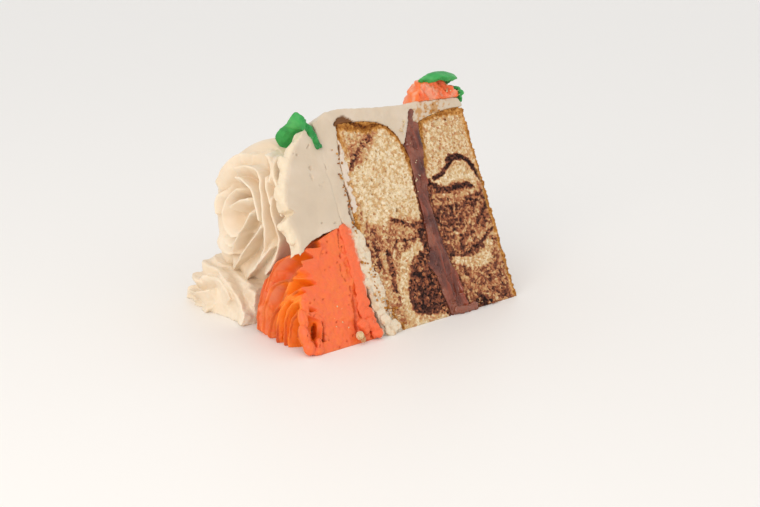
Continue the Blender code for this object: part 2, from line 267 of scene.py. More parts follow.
spongeLook = {
    "batter": [
        (0.10, "#F4E8D0"), (0.20, "#EBD6B2"), (0.26, "#DEC49C"), (0.32, "#CFAA76"), (0.39, "#C99769"),
        (0.47, "#AF6C46"), (0.56, "#8A4F35"), (0.65, "#67392B"), (0.74, "#46251B"), (0.84, "#1E0A06"),
    ],
    "crust": [(0.42, "#E4BE8A"), (0.58, "#D39A54"), (0.74, "#B0742F"), (0.90, "#84490F"), (1.0, "#4E1F06")],
    "icing": "#DDCDBC", "blush": "#EE7A48", "crumbSize": 1.0 * mm, "crumbRelief": 0.7 * mm,
}


def bakedSponge():
    # open baked crumb: matt, grainy, and slightly see-through at the edges of its holes
    material, tree, shader, place = startMaterial(
        "bakedSponge", {
            "Roughness": 0.9, "IOR": 1.4, "Subsurface Weight": 0.12, "Subsurface Scale": 0.0015,
            "Subsurface Radius": (1.0, 0.6, 0.3),
        },
    )
    tone, mixing, crust, iced, blush = (
        addNode(tree, "Attribute", {"attribute_name": name}).outputs["Fac"]
        for name in ("tone", "mixing", "crust", "iced", "blush")
    )
    perCrumb = 1 / spongeLook["crumbSize"]
    grain = addNode(
        tree, "TexNoise", None, {"Vector": place, "Scale": 0.5 * perCrumb, "Detail": 4.0, "Roughness": 0.7},
    ).outputs["Fac"]
    clumps = addNode(tree, "TexVoronoi", None, {"Vector": place, "Scale": 0.85 * perCrumb})
    pick = addNode(tree, "SeparateColor", None, {"Color": clumps.outputs["Color"]}).outputs["Red"]
    # grains of lighter and darker crumb lie side by side, most of all where cocoa and batter mix
    picked = addNode(tree, "Math", scaleAndAdd, {0: pick, 1: mixing, 2: tone}).outputs[0]
    shade = addNode(tree, "Math", scaleAndAdd, {0: grain, 1: 0.42, 2: picked}).outputs[0]
    batter = addNode(tree, "ValToRGB", None, {"Fac": shade}, spongeLook["batter"]).outputs["Color"]
    browned = addNode(tree, "Math", scaleAndAdd, {0: grain, 1: 0.9, 2: crust}).outputs[0]
    baked = addNode(tree, "ValToRGB", None, {"Fac": browned}, spongeLook["crust"]).outputs["Color"]
    isCrust = addNode(tree, "Math", {"operation": "MULTIPLY", "use_clamp": True}, {0: crust, 1: 5.0}).outputs[0]
    crumb = addNode(tree, "Mix", blendColours, {0: isCrust, 6: batter, 7: baked}).outputs[2]
    icing = addNode(
        tree, "Mix", blendColours,
        {0: blush, 6: linearColour(spongeLook["icing"]), 7: linearColour(spongeLook["blush"])},
    ).outputs[2]
    colour = addNode(tree, "Mix", blendColours, {0: iced, 6: crumb, 7: icing}).outputs[2]
    bare = addNode(tree, "Math", scaleAndAdd, {0: iced, 1: -0.8, 2: 1.0}).outputs[0]
    relief = spongeLook["crumbRelief"]
    bump = addNode(tree, "Bump", None, {"Height": grain, "Distance": relief, "Strength": bare}).outputs["Normal"]
    tree.links.new(colour, shader.inputs["Base Color"])
    tree.links.new(bump, shader.inputs["Normal"])
    return material


fudgeFinish = {
    "colours": [(0.32, "#4A1F16"), (0.5, "#6B3526"), (0.64, "#8C523E")], "thin": "#94452C",
    "drift": 5 * mm, "wetPatches": 3 * mm, "dimples": 1.6 * mm, "dimpleDepth": 0.25 * mm,
}


def chocolateFudge():
    # smooth moist fudge with a soft gloss, wetter in patches, redder on its raised lip, and lighter red along its
    # streaks as a painted sheen
    material, tree, shader, place = startMaterial(
        "chocolateFudge", {"IOR": 1.47, "Subsurface Weight": 0.1, "Subsurface Scale": 0.002},
    )
    look = fudgeFinish
    drift, wet, dimples = (
        addNode(tree, "TexNoise", None, {"Vector": place, "Scale": 0.5 / size, "Detail": 3.0}).outputs["Fac"]
        for size in (look["drift"], look["wetPatches"], look["dimples"])
    )
    colour = addNode(tree, "ValToRGB", None, {"Fac": drift}, look["colours"]).outputs["Color"]
    thin = addNode(tree, "Attribute", {"attribute_name": "thin"}).outputs["Fac"]
    colour = addNode(tree, "Mix", blendColours, {0: thin, 6: colour, 7: linearColour(look["thin"])}).outputs[2]
    gloss = addNode(tree, "Math", scaleAndAdd, {0: wet, 1: 0.5, 2: -0.05}).outputs[0]
    bump = addNode(tree, "Bump", None, {"Height": dimples, "Distance": look["dimpleDepth"]}).outputs["Normal"]
    for value, socket in ((colour, "Base Color"), (gloss, "Roughness"), (bump, "Normal")):
        tree.links.new(value, shader.inputs[socket])
    return material


butterFinish = {"drift": 7 * mm, "waves": 2.5 * mm, "pits": 1.3 * mm, "relief": 0.18 * mm}


def buttercream(name, steps, stains=(), scale=0.0028, weight=0.22, radii=(1.0, 0.75, 0.55)):
    # whipped butter icing: satin, with light going a few millimetres into it, and tiny air pits
    material, tree, shader, place = startMaterial(
        name, {
            "Roughness": 0.46, "IOR": 1.46, "Subsurface Weight": weight, "Subsurface Scale": scale,
            "Subsurface Radius": radii,
        },
    )
    drift, waves = (
        addNode(tree, "TexNoise", None, {"Vector": place, "Scale": 0.5 / size, "Detail": 3.0}).outputs["Fac"]
        for size in (butterFinish["drift"], butterFinish["waves"])
    )
    colour = addNode(tree, "ValToRGB", None, {"Fac": drift}, steps).outputs["Color"]
    for attribute, hexCode in stains:
        share = addNode(tree, "Attribute", {"attribute_name": attribute}).outputs["Fac"]
        colour = addNode(tree, "Mix", blendColours, {0: share, 6: colour, 7: linearColour(hexCode)}).outputs[2]
    pits = addNode(
        tree, "TexVoronoi", {"feature": "SMOOTH_F1"},
        {"Vector": place, "Scale": 1 / butterFinish["pits"], "Smoothness": 0.6},
    ).outputs["Distance"]
    rough = addNode(tree, "Math", scaleAndAdd, {0: pits, 1: 0.2, 2: waves}).outputs[0]
    bump = addNode(tree, "Bump", None, {"Height": rough, "Distance": butterFinish["relief"]}).outputs["Normal"]
    tree.links.new(colour, shader.inputs["Base Color"])
    tree.links.new(bump, shader.inputs["Normal"])
    return material


spongeMaterial = bakedSponge()
fudgeMaterial = chocolateFudge()
# The coat, the cut rose and the white smears take a darker copy of the roses' white icing: painted shade for the dimmer
# light on the shown cut face. The roses' icing is the same icing in full light.
whiteIcingInShade = buttercream(
    "whiteButtercreamInShade", [(0.3, "#CDBBA4"), (0.5, "#D3C1AA"), (0.7, "#DAC9B5")],
    [("cream", "#E6D5BA"), ("blush", "#EE7842"), ("stain", "#C08A48"), ("shade", "#744206")],
)
roseIcing = buttercream(
    "roseButtercream", [(0.3, "#E5D2B8"), (0.5, "#EBDAC2"), (0.7, "#EFE1CC")], [("shade", "#CFA976")],
    scale=0.0018,
)
orangeIcing = buttercream(
    "orangeButtercream", [(0.3, "#EE6A0C"), (0.5, "#F47A12"), (0.7, "#F88C24")],
    [("stain", "#EE6C3C"), ("pale", "#EBCFB6"), ("shade", "#A02A08")], scale=0.0026, weight=0.25, radii=(1.0, 0.6, 0.3),
)
greenIcing = buttercream(
    "greenButtercream", [(0.3, "#249242"), (0.5, "#3AA650"), (0.7, "#66BA6A")], [("shade", "#0C6432")],
    scale=0.002, weight=0.2,
)


# The two layers of marbled sponge.

# Marbling as strokes drawn over each other in the cut face: share of cocoa, width, softness, and points of
# (height, radius).
topMarbling = [
    (0.36, 22, 6, [(86, 42), (74, 38), (60, 40), (53, 37)]),
    (0.28, 26, 6, [(86, 16), (72, 14), (60, 14)]),
    (0.40, 13, 6, [(84.5, 46), (84.5, 39.5), (85, 33)]),
    (0.30, 10, 5, [(68, 47.5), (56, 45)]),
    (0.76, 8, 3, [(49, 44), (51, 36), (52, 28)]),
    (0.74, 13, 4, [(55, 26), (55, 18), (53, 10), (52, 5)]),
    (0.72, 11, 3, [(52, 31), (58, 28), (62.5, 21), (65.5, 14), (65.5, 9), (58, 6.5), (51, 5.5)]),
    (0.68, 2.0, 1.2, [(68, 52.5), (65, 51), (60.5, 48.5), (55, 47.5), (50.5, 47.5)]),
    (0.62, 2.6, 1.6, [(83.5, 43.5), (81.5, 39.5)]),
    (0.60, 2.6, 1.6, [(82.5, 36.5), (83.5, 31.5)]),
    (0.56, 3.4, 2, [(89.5, 49.5), (89, 43.5)]),
    (0.20, 2.8, 1.4, [(78.5, 36.5), (79.5, 30.5), (80.5, 24.5), (81.5, 17.5)]),
    (0.46, 4.5, 2, [(72, 37), (65.5, 37), (59.5, 39)]),
    (0.72, 1.6, 1, [(71, 39.5), (67, 41.5), (60.5, 41.5), (56.5, 39.5)]),
    (0.74, 2.8, 1.4, [(75.5, 37), (76.5, 33.5), (76.5, 28.5), (77, 24), (78, 19)]),
    (0.08, 5, 1.6, [(55.5, 37), (61.5, 34.5), (66.5, 32.5), (69, 29), (71, 24), (72.5, 18), (73.5, 13.5)]),
    (0.12, 6, 2, [(73.5, 12), (73, 4), (62, 1), (52, -1)]),
    (0.78, 2.5, 1, [(47, 60), (47, 54), (47, 48), (48, 41)]),
    (0.30, 6, 3, [(64, 97), (67, 93.5), (72, 91)]),
    (0.26, 12, 5, [(82, 92), (79, 87), (70, 94)]),
    (0.52, 2.8, 2.4, [(68, 94), (70, 92), (74.7, 89.3), (78.8, 86), (81, 83.7), (83.5, 80)]),
    (0.60, 1.8, 1, [(63.4, 98.7), (66.5, 95.4), (69, 93)]),
    (0.22, 4, 2, [(86, 62), (88, 52)]),
]
bottomMarbling = [
    (0.52, 26, 5, [(38, 51), (18, 50), (0, 47)]),
    (0.52, 22, 5, [(38, 34), (18, 34), (0, 36)]),
    (0.49, 26, 5, [(38, 9), (20, 8), (0, 8)]),
    (0.06, 7, 1.5, [(33, 66.5), (22, 67.5), (12, 69), (9, 65), (8, 62)]),
    (0.90, 2.4, 1, [(34, 68), (28, 69), (22, 73), (17, 77), (11, 77), (7, 74), (3, 67), (1, 60), (1, 54), (3, 49)]),
    (0.90, 3.6, 1.5, [(21, 75.5), (16, 77), (12, 76)]),
    (0.82, 3.0, 1.4, [(38, 67), (36, 64.5), (27, 61.5), (18, 61.5), (13.5, 62), (9, 59), (5, 54)]),
    (0.56, 12, 5, [(40, 51), (25, 48.5), (10.5, 48.5)]),
    (0.24, 2.4, 1.2, [(34, 59.5), (26, 57.5), (20, 56.5), (12.5, 58), (6, 57.5)]),
    (0.34, 1.8, 1.2, [(38.5, 55.5), (30, 54.5), (22, 54), (17, 56)]),
    (0.70, 4, 2, [(5, 55), (2, 51), (2, 48.5)]),
    (0.34, 2.6, 1.4, [(8.5, 50), (9, 47.5)]),
    (0.72, 3, 2, [(27.5, 51.5), (28.5, 48.5)]),
    (0.25, 2.0, 1, [(25, 38), (20, 42), (16.5, 45.5), (11.5, 46)]),
    (0.30, 1.6, 1, [(36.5, 39), (29, 38.5), (22.5, 39)]),
    (0.28, 6, 3, [(15.5, 34.5), (7.5, 37), (1.5, 36)]),
    (0.44, 6, 3, [(34.5, 34), (18.5, 32)]),
    (0.70, 3.4, 2, [(27.5, 32.5), (28, 30.5)]),
    (0.10, 6.5, 2, [(33, 26), (24, 22), (15, 23.5), (10.5, 26.5), (9, 30)]),
    (0.66, 1.2, 0.8, [(36, 37), (29.5, 37.5), (19, 36.5), (16.5, 37)]),
    (0.78, 1.5, 0.8, [(36.5, 29.5), (29, 27.5), (20.5, 29), (13.5, 32.5), (8.5, 34.5), (2, 37.5)]),
    (0.47, 11, 4, [(33, 16), (19, 12), (5, 14), (3.5, 24)]),
    (0.34, 1.8, 1.2, [(34.5, 16.5), (24, 16)]),
    (0.24, 3, 1.6, [(3, 12.5), (2.5, 5.5)]),
    (0.74, 3.4, 1.6, [(23, 4.5), (23, -0.5)]),
    (0.22, 2.4, 1.4, [(14.5, 3), (15.5, 0)]),
    (0.48, 8, 4, [(6, 3), (7.5, 10)]),
]


def drawStrokes(heights, radii, strokes, base):
    cocoa = np.full(len(heights), base)
    for amount, width, soft, line in strokes:
        nearest = lineDistance(heights, radii, line)[0]
        cocoa += (amount - cocoa) * fade(width / 2 - soft / 2, width / 2 + soft / 2, nearest)
    return cocoa


def crustDepth(node, points):
    # how far each point lies from the layer's baked skin, which is every face of its CAD node but the two cuts
    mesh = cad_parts[node].data
    corners = [v.co for v in mesh.vertices]
    faces = [
        tuple(p.vertices) for p in mesh.polygons
        if p.normal.dot(cutNormal) < 0.8 and p.normal.z > -0.9
    ]
    tree = BVHTree.FromPolygons(corners, faces)
    return np.array([tree.find_nearest(p)[3] for p in points.tolist()]) / mm


crumbLook = {
    "voxel": 0.68, "grain": 1.05, "grainDepth": 0.42, "pore": 1.6, "poreDepth": 1.2, "tear": 7, "tearDepth": 0.6,
    "swirl": 7, "swirlDepth": 0.8, "waver": 1.8, "waverDepth": 0.35, "ribbons": 9, "paleRibbons": 10, "threads": 3.6,
    "crust": 0.27, "crustDepth": (1.2, 3.2), "fray": 1.2, "soaked": 0.58, "bubble": (62.5, 56.2), "bubbleDepth": 2.4,
    "outerCrust": (3, 5),
}
# Torn gaps in the shown cut face: width, depth and a line of (height, radius). They run on into the coat.
tears = [
    (2.8, 1.1, [(85.5, 101.5), (83.5, 103.6), (80, 103.8), (77.5, 102.4), (74, 100.8), (70, 99.2), (66, 98.6),
                (61, 99.4)]),
    (1.6, 1.6, [(87.6, 91.6), (88.6, 88)]),
    (1.1, 1.2, [(100.6, 88.5), (99.6, 84.5), (99.2, 81.5)]),
    (0.9, 1.3, [(90.9, 72.6), (90, 68.4), (89.5, 65.7), (91.6, 63.4), (92.2, 59), (91.4, 54)]),
]
spongeTears = tears + [(1.3, 1.0, [(61, 99.6), (57, 99.4), (53, 96.5), (49.5, 93), (47.6, 89.5)])]
# Golden crust seen in the cut face: its darkness, width and a line of (height, radius).
goldenLines = [
    (0.40, 4.6, [(61, 101), (57, 99.6), (53.5, 96.8), (50.5, 93)]),
    (0.36, 3.0, [(51, 93), (48.6, 88.5), (47, 83), (46.4, 77)]),
    (0.16, 5.0, [(86, 99.5), (84.5, 94), (84, 89)]),
    (0.15, 3.0, [(85.5, 78), (86.4, 73), (86, 68), (87, 61)]),
    (0.34, 4.0, [(84, 100.5), (76, 99), (68, 97), (60, 98)]),
    (0.22, 5.8, [(33, 96), (36, 88), (38.5, 81), (38.6, 74)]),
    (0.14, 5.0, [(2, 97), (1, 80), (0, 60), (0, 45)]),
    (0.30, 2.8, [(31, 99.5), (22, 99.5), (10, 99.5), (2, 99.5)]),
]
# Thin icing wiped over the sponge's edge: width and a line of (height, radius).
wipes = [
    (4.6, [(88.6, 92), (88.4, 86), (87.6, 81), (88.4, 77), (90, 73)]),
    (4.0, [(89, 70), (88, 67), (88.2, 64), (90, 60)]),
    (5.0, [(91.6, 44), (91, 37), (90.4, 31)]),
    (7.0, [(89.6, 27), (88, 22), (89, 15)]),
    (6.4, [(87, 9), (85, 4), (83.4, 0)]),
]


def tornDepth(points, heights, radii, lines, seed):
    # how deep the torn gaps are at each point, and how dark
    depth, dark = np.zeros(len(points)), np.zeros(len(points))
    ragged = lumps(points, 2.2, 3, seed) * 0.9
    patchy = ease(-0.5, 0.1, lumps(points, 6, 1, seed + 1))
    for width, deep, line in lines:
        near = lineDistance(heights, radii, line)[0] + ragged * min(1, width / 3)
        inside = fade(width * 0.3, width * 0.62, near)
        depth = np.maximum(depth, inside * deep * (0.45 + 0.55 * patchy))
        dark = np.maximum(dark, inside)
    return depth, dark


def marbled(points, heights, radii, strokes, base, seed):
    # the share of cocoa at each point: the strokes, wavering, with thin ribbons wherever some cocoa was stirred in
    look = crumbLook
    warp = [
        lumps(points, look["swirl"], 2, seed + k) * look["swirlDepth"]
        + lumps(points, look["waver"], 2, seed + k) * look["waverDepth"] for k in (1, 2)
    ]
    cocoa = drawStrokes(heights + warp[0], radii + warp[1], strokes, base)
    drawn = points + np.stack([warp[1], warp[0], warp[0]], 1) * 1.5 * mm
    mixed = ease(0.2, 0.4, cocoa) * ease(0.1, 0.3, 0.95 - cocoa)
    ribbon = np.abs(lumps(drawn * (1.0, 0.7, 0.7), look["ribbons"], 2, seed + 3))
    pale = np.abs(lumps(drawn * (1.0, 0.7, 0.7), look["paleRibbons"], 2, seed + 9))
    thread = lumps(drawn * (1.0, 0.6, 0.6), look["threads"], 2, seed + 14)
    return cocoa + mixed * (0.2 * fade(0.01, 0.07, ribbon) - 0.17 * fade(0.01, 0.08, pale) + 0.2 * thread)


def bakedCrust(points, heights, radii, skin, seed):
    # how dark the crust is: along the baked skin and where the cut runs close to it, but not beside the fudge
    look = crumbLook
    crust = look["crust"] * fade(*look["crustDepth"], skin)
    crust *= 1 - ease(24, 27, heights) * fade(57, 60, heights) * fade(70, 78, radii)
    frayed = lumps(points, 2.0, 3, seed + 11) * look["fray"]
    for dark, width, line in goldenLines:
        near = lineDistance(heights, radii, line)[0] + frayed
        crust = np.maximum(crust, dark * fade(width * 0.1, width * 0.65, near))
    return crust


def wipedIcing(points, heights, radii, seed):
    iced = np.zeros(len(points))
    wiped = lumps(points, 2.6, 3, seed + 12) * 1.7
    for width, line in wipes:
        near = lineDistance(heights, radii, line)[0] + wiped
        iced = np.maximum(iced, fade(width * 0.40, width * 0.56, near))
    return iced


def spongeLayer(node, name, strokes, base, seed):
    look = crumbLook
    piece = copyOfNode(node, name, look["voxel"])
    finerCut(piece)
    points, normals = readPoints(piece), readNormals(piece)
    heights, radii, behind = cakeCoordinates(points)
    cut = facesCut(normals, 0.6)
    depth = crustDepth(node, points)
    skin = depth + lumps(points, 2.4, 2, seed + 4) * 0.9
    crust = bakedCrust(points, heights, radii, skin, seed)
    # soaked brown edge beside the fudge
    soaked = fade(0.3, 1.6, skin) * ease(26, 29, heights) * fade(49, 52, heights) * fade(72, 80, radii)
    cocoa = np.maximum(marbled(points, heights, radii, strokes, base, seed), look["soaked"] * soaked)
    # crumb: torn grains, small round holes and a few larger ones
    near, pick = cells(points, look["pore"], seed)
    isHole = ease(0.60 - 0.3 * np.clip(cocoa, 0, 1), 0.95, pick)
    holes = fade(0.12, 0.46, near) * isHole
    grains = lumps(points, look["grain"], 3, seed + 5)
    sink = -0.2 + grains * look["grainDepth"] * (1 + 0.6 * cocoa) - holes * look["poreDepth"] * (1 + 0.4 * cocoa)
    sink += lumps(points, look["tear"], 2, seed + 6) * look["tearDepth"]
    edge = fade(0, 1.4, depth + 0.5 * grains)
    sink -= edge * 0.5 * np.clip(lumps(points, 4, 2, seed + 7), 0, 1)
    # one bubble and the torn gaps, in the shown cut alone
    inCut = behind < 6
    away = np.hypot(heights - look["bubble"][0], radii - look["bubble"][1])
    deep, dark = tornDepth(points, heights, radii, spongeTears, seed + 20)
    sink -= look["bubbleDepth"] * fade(0.5, 1.5, away) * inCut + deep
    crust = np.maximum(crust, 0.45 * dark * inCut)
    iced = wipedIcing(points, heights, radii, seed) * (1 - dark) * cut
    sink = np.where(iced > 0.01, sink * (1 - 0.75 * iced) + 0.35 * iced, sink)
    # the other faces are rough, and the baked one at the cake's foot rougher still
    outside = fade(*look["outerCrust"], heights)
    other = lumps(points, 2.0, 3, seed + 8) * (0.5 + 0.6 * outside) + 0.12 - 0.4 * outside
    moveOut(piece, points, normals, cut * np.minimum(sink, 0.6) + (1 - cut) * other)
    # holes are painted darker, a painted shade in the pores, and raised grains a little lighter, a painted highlight
    cocoa = np.clip(cocoa + holes * (0.05 + 0.4 * cocoa) + lumps(points, 3, 2, seed + 13) * 0.08 - grains * 0.06, 0, 1)
    mixing = 0.14 + 0.46 * cocoa * (1 - cocoa) + 0.14 * ease(0.3, 0.7, cocoa)
    writeShares(piece, mixing=mixing, tone=0.02 + 0.6 * cocoa - 0.5 * mixing, crust=crust, iced=iced)
    finishPiece(piece, spongeMaterial, "sponge", node)


spongeLayer("bottom_sponge", "bottomSpongeCrumb", bottomMarbling, 0.14, 1)
spongeLayer("top_sponge", "topSpongeCrumb", topMarbling, 0.05, 2)


# The band of fudge between the layers.

fudgeLook = {
    "voxel": 0.6, "smear": 4, "smearDepth": 1.1, "swell": 0.5, "streaks": 0.3,
    "lip": 38.6, "lipWidth": 0.7, "lipHeight": 1.1,  # a raised lip runs down the side that leans on the lower layer
    "scoop": (46, 89.5), "scoopSize": (2.4, 4.5), "scoopDepth": 2.2,  # a hollow near its top
}


def fudgeBand():
    look = fudgeLook
    piece = copyOfNode("fudge_filling", "fudgeBand", look["voxel"])
    finerCut(piece)
    points, normals = readPoints(piece), readNormals(piece)
    heights, radii, behind = cakeCoordinates(points)
    cut = facesCut(normals)
    smear = lumps(points * (1.0, 0.3, 0.3), look["smear"], 3, 11) * look["smearDepth"]
    streaks = lumps(points * (1.0, 0.16, 0.16), 1.9, 2, 16)
    dents = np.clip(lumps(points, 3, 2, 13) - 0.2, 0, 1) * 1.5
    side = look["lip"] + 1.2 * ease(50, 75, radii) - 2.0 * fade(0, 22, radii) + lumps(points, 14, 1, 14) * 0.5
    lip = np.exp(-(((heights - side) / look["lipWidth"]) ** 2)) * fade(66, 74, radii)
    away = np.stack([heights, radii], 1) - look["scoop"]
    dents += look["scoopDepth"] * fade(0.5, 1.3, np.hypot(*(away / look["scoopSize"]).T))
    face = look["swell"] + smear - dents + lip * look["lipHeight"] + streaks * look["streaks"]
    sides = lumps(points, 4, 2, 15) * 0.4
    moveOut(piece, points, normals, cut * face + (1 - cut) * sides)
    # redder on the raised lip; the raised streaks get the same lighter colour as a painted sheen
    writeShares(piece, thin=cut * np.clip(lip + 0.5 * ease(0.0, 0.5, streaks), 0, 0.9))
    finishPiece(piece, fudgeMaterial, "fudge", "fudge_filling")


fudgeBand()


# The coat of white icing.

coatLook = {
    "voxel": 0.75, "spread": 0.5, "waves": 16, "drag": 0.25, "rough": 0.9,
    "outerSide": 105, "outerTop": 97.5,  # the faces past these were spread smooth
}
# Golden brown crumb wiped into the coat's cut face: height, radius and half-size.
coatStains = [(19, 103.4, 5.5), (30.5, 101.6, 4.0), (13.5, 100.0, 3.5), (26, 104.5, 3.0)]


def icingCoat():
    look = coatLook
    piece = copyOfNode("icing_coat", "icingCoat", look["voxel"])
    heights, radii, behind = cakeCoordinates(readPoints(piece))
    spreadFaces = (radii > look["outerSide"]) | ((heights > look["outerTop"]) & (radii > 60))
    piece.data.vertices.foreach_set("select", spreadFaces)
    with editing(piece):
        bpy.ops.mesh.vertices_smooth(factor=0.5, repeat=14)
    points, normals = readPoints(piece), readNormals(piece)
    heights, radii, behind = cakeCoordinates(points)
    cut = facesCut(normals)
    front = fade(1.5, 3, behind)
    spread = lumps(points, look["waves"], 2, 21) * look["spread"] - 0.3
    drag = lumps(points * (1.0, 0.25, 0.25), 2.5, 2, 22) * look["drag"]
    # the cut face is wiped smooth higher up and lumpy with crumbs lower down
    lumpy = fade(42, 56, radii)
    face = lumps(points, 4, 3, 23) * 0.3 - 0.1
    face += lumpy * (lumps(points, 3.2, 3, 26) * look["rough"] + 0.3)
    deep, dark = tornDepth(points, heights, radii, tears, 21)
    inner = (radii < 104.8) & (heights < 98.5)
    moveOut(piece, points, normals, (1 - cut) * np.where(inner, 0.45, spread + drag) + cut * (face - deep))
    ragged = lumps(points, 1.8, 4, 24)
    stain = np.zeros(len(points))
    for height, radius, half in coatStains:
        away = np.hypot(heights - height, radii - radius) / half + ragged * 1.5
        stain = np.maximum(stain, 0.9 * fade(0.3, 1.0, away))
    specks = lumpy * ease(0.2, 0.6, lumps(points, 2.4, 2, 27)) * 0.45
    smear = ease(94.0, 97.0, heights + lumps(points, 3, 2, 28) * 1.6) * fade(51, 56, radii)
    dark = np.clip(1.8 * dark, 0, 1)
    writeShares(piece, stain=np.maximum(stain, specks) * front, blush=smear * front, shade=dark * front)
    finishPiece(piece, whiteIcingInShade, "white_icing", "icing_coat")


icingCoat()


# Piped flowers.

edgeSteps = 24  # straight steps along each petal's edge

# Each petal is the line of its free edge, from above: points across the flower from its middle.
whiteRose = {
    "cuts": 290, "radius": 37.5, "height": 29.0, "fullness": 2.8, "heart": (0.5, 3.0), "dip": 10.0, "heartDepth": 1.0,
    "cup": 3.4, "drop": 1.5, "curl": 2.0, "calm": (0.8, -0.3, 0.4), "shaded": 0.3,
    "petals": [
        [(6.4, 3.9), (4.9, 5.7), (2.0, 8.0), (-1.9, 10.2), (-5.2, 11.8), (-8.0, 13.3)],
        [(-0.8, 16.2), (2.7, 14.1), (6.5, 10.7), (9.6, 7.4), (11.3, 4.0), (11.9, 0.9), (11.0, -1.9), (8.8, -4.4),
         (5.1, -5.9), (1.4, -6.0)],
        [(7.4, 18.3), (4.1, 19.4), (0.9, 19.7), (-3.0, 18.6), (-6.4, 16.9), (-9.0, 14.0), (-10.5, 11.0), (-12.0, 7.9),
         (-13.2, 4.8), (-13.7, 2.5)],
        [(-9.0, 8.5), (-6.8, 5.7), (-4.5, 2.5), (-1.8, -1.0), (0.5, -4.5), (2.8, -8.1), (4.8, -11.7), (5.8, -14.5),
         (4.9, -16.6)],
        [(-15.7, 3.4), (-13.5, 0.4), (-10.8, -2.6), (-7.7, -6.0), (-4.3, -10.0), (0.3, -15.7), (6.1, -21.6),
         (12.5, -28.0)],
        [(-21.8, -4.9), (-19.3, -7.8), (-16.2, -11.2), (-12.2, -15.4), (-7.1, -20.3), (0.1, -26.6), (5.9, -32.1)],
        [(9.6, 21.6), (6.4, 23.6), (2.4, 25.2), (-1.5, 26.0), (-5.6, 25.7), (-9.0, 24.5), (-11.3, 21.9), (-13.0, 17.5),
         (-14.6, 12.2), (-15.5, 7.6), (-16.3, 3.9), (-17.1, 0.7), (-17.5, -2.7), (-16.8, -6.8), (-14.7, -11.3),
         (-12.2, -15.7)],
        [(-4.8, 32.6), (-8.4, 31.8), (-11.3, 30.4), (-13.8, 28.4), (-15.7, 25.1), (-16.4, 22.1), (-17.3, 19.1)],
        [(-19.5, 17.8), (-19.7, 13.9), (-20.0, 10.3), (-21.2, 6.7), (-23.0, 3.1), (-24.2, -0.5), (-24.4, -4.4),
         (-23.1, -9.2), (-20.4, -14.0), (-16.6, -18.9), (-12.5, -23.1)],
        [(-11.7, 24.9), (-14.1, 23.2), (-15.9, 19.8), (-17.3, 16.4), (-18.9, 12.9), (-20.0, 10.7)],
        [(-10.2, 34.1), (-12.5, 32.0), (-14.3, 29.3), (-16.1, 26.1), (-18.3, 22.8), (-21.0, 19.6), (-23.3, 16.2),
         (-24.8, 12.8), (-25.4, 9.1), (-25.5, 5.9)],
        [(16.0, -9.6), (11.7, -9.8), (8.0, -11.2), (5.3, -13.3)],
        [(24.5, -12.4), (20.0, -15.6), (13.1, -16.4), (6.1, -15.6)],
        [(22.6, -16.8), (20.2, -20.3), (17.6, -23.3), (15.5, -25.4)],
        [(19.0, -2.0), (19.5, 5.0), (17.0, 12.0)],
        [(24.0, 12.0), (19.5, 20.0), (13.0, 26.5), (5.0, 30.5)],
    ],
}
lowerRose = {
    "cuts": 230, "radius": 33.5, "height": 40.5, "fullness": 2.6, "fuller": 2.2, "heart": (8.0, 6.0), "dip": 6.5,
    "cup": 4.2, "drop": 1.4, "curl": 2.4, "lean": (-0.16, 0.0), "voxel": 0.42,
    "petals": [
        [(22.0, 25.0), (16.0, 25.2), (8.7, 24.9), (1.1, 24.4), (-3.8, 23.3), (-8.7, 21.7), (-12.4, 20.0), (-15.1, 18.2),
         (-17.9, 15.6), (-20.0, 12.9), (-21.5, 10.4), (-21.6, 7.9), (-21.3, 5.1)],
        [(24.0, 11.6), (18.0, 11.4), (12.3, 12.2), (6.1, 14.5), (2.0, 16.8)],
        [(23.5, 19.5), (17.5, 18.0), (11.0, 17.6)],
        [(27.0, 3.0), (19.0, 3.6), (12.0, 6.0)],
        [(16.6, 18.9), (6.3, 21.2), (0.6, 21.6), (-3.9, 20.9), (-7.9, 19.6), (-11.2, 17.5), (-13.5, 15.6)],
        [(-15.7, 23.8), (-18.8, 21.8), (-21.8, 19.3), (-24.3, 16.4), (-26.0, 12.0)],
        [(20.0, 4.0), (14.0, 2.0), (8.0, 4.5), (2.0, 9.0)],
        [(22.0, 14.0), (25.5, 8.0), (27.0, 1.0), (25.0, -6.0)],
        [(4.0, 30.0), (12.0, 30.5), (20.0, 28.0), (26.0, 22.0)],
    ],
}
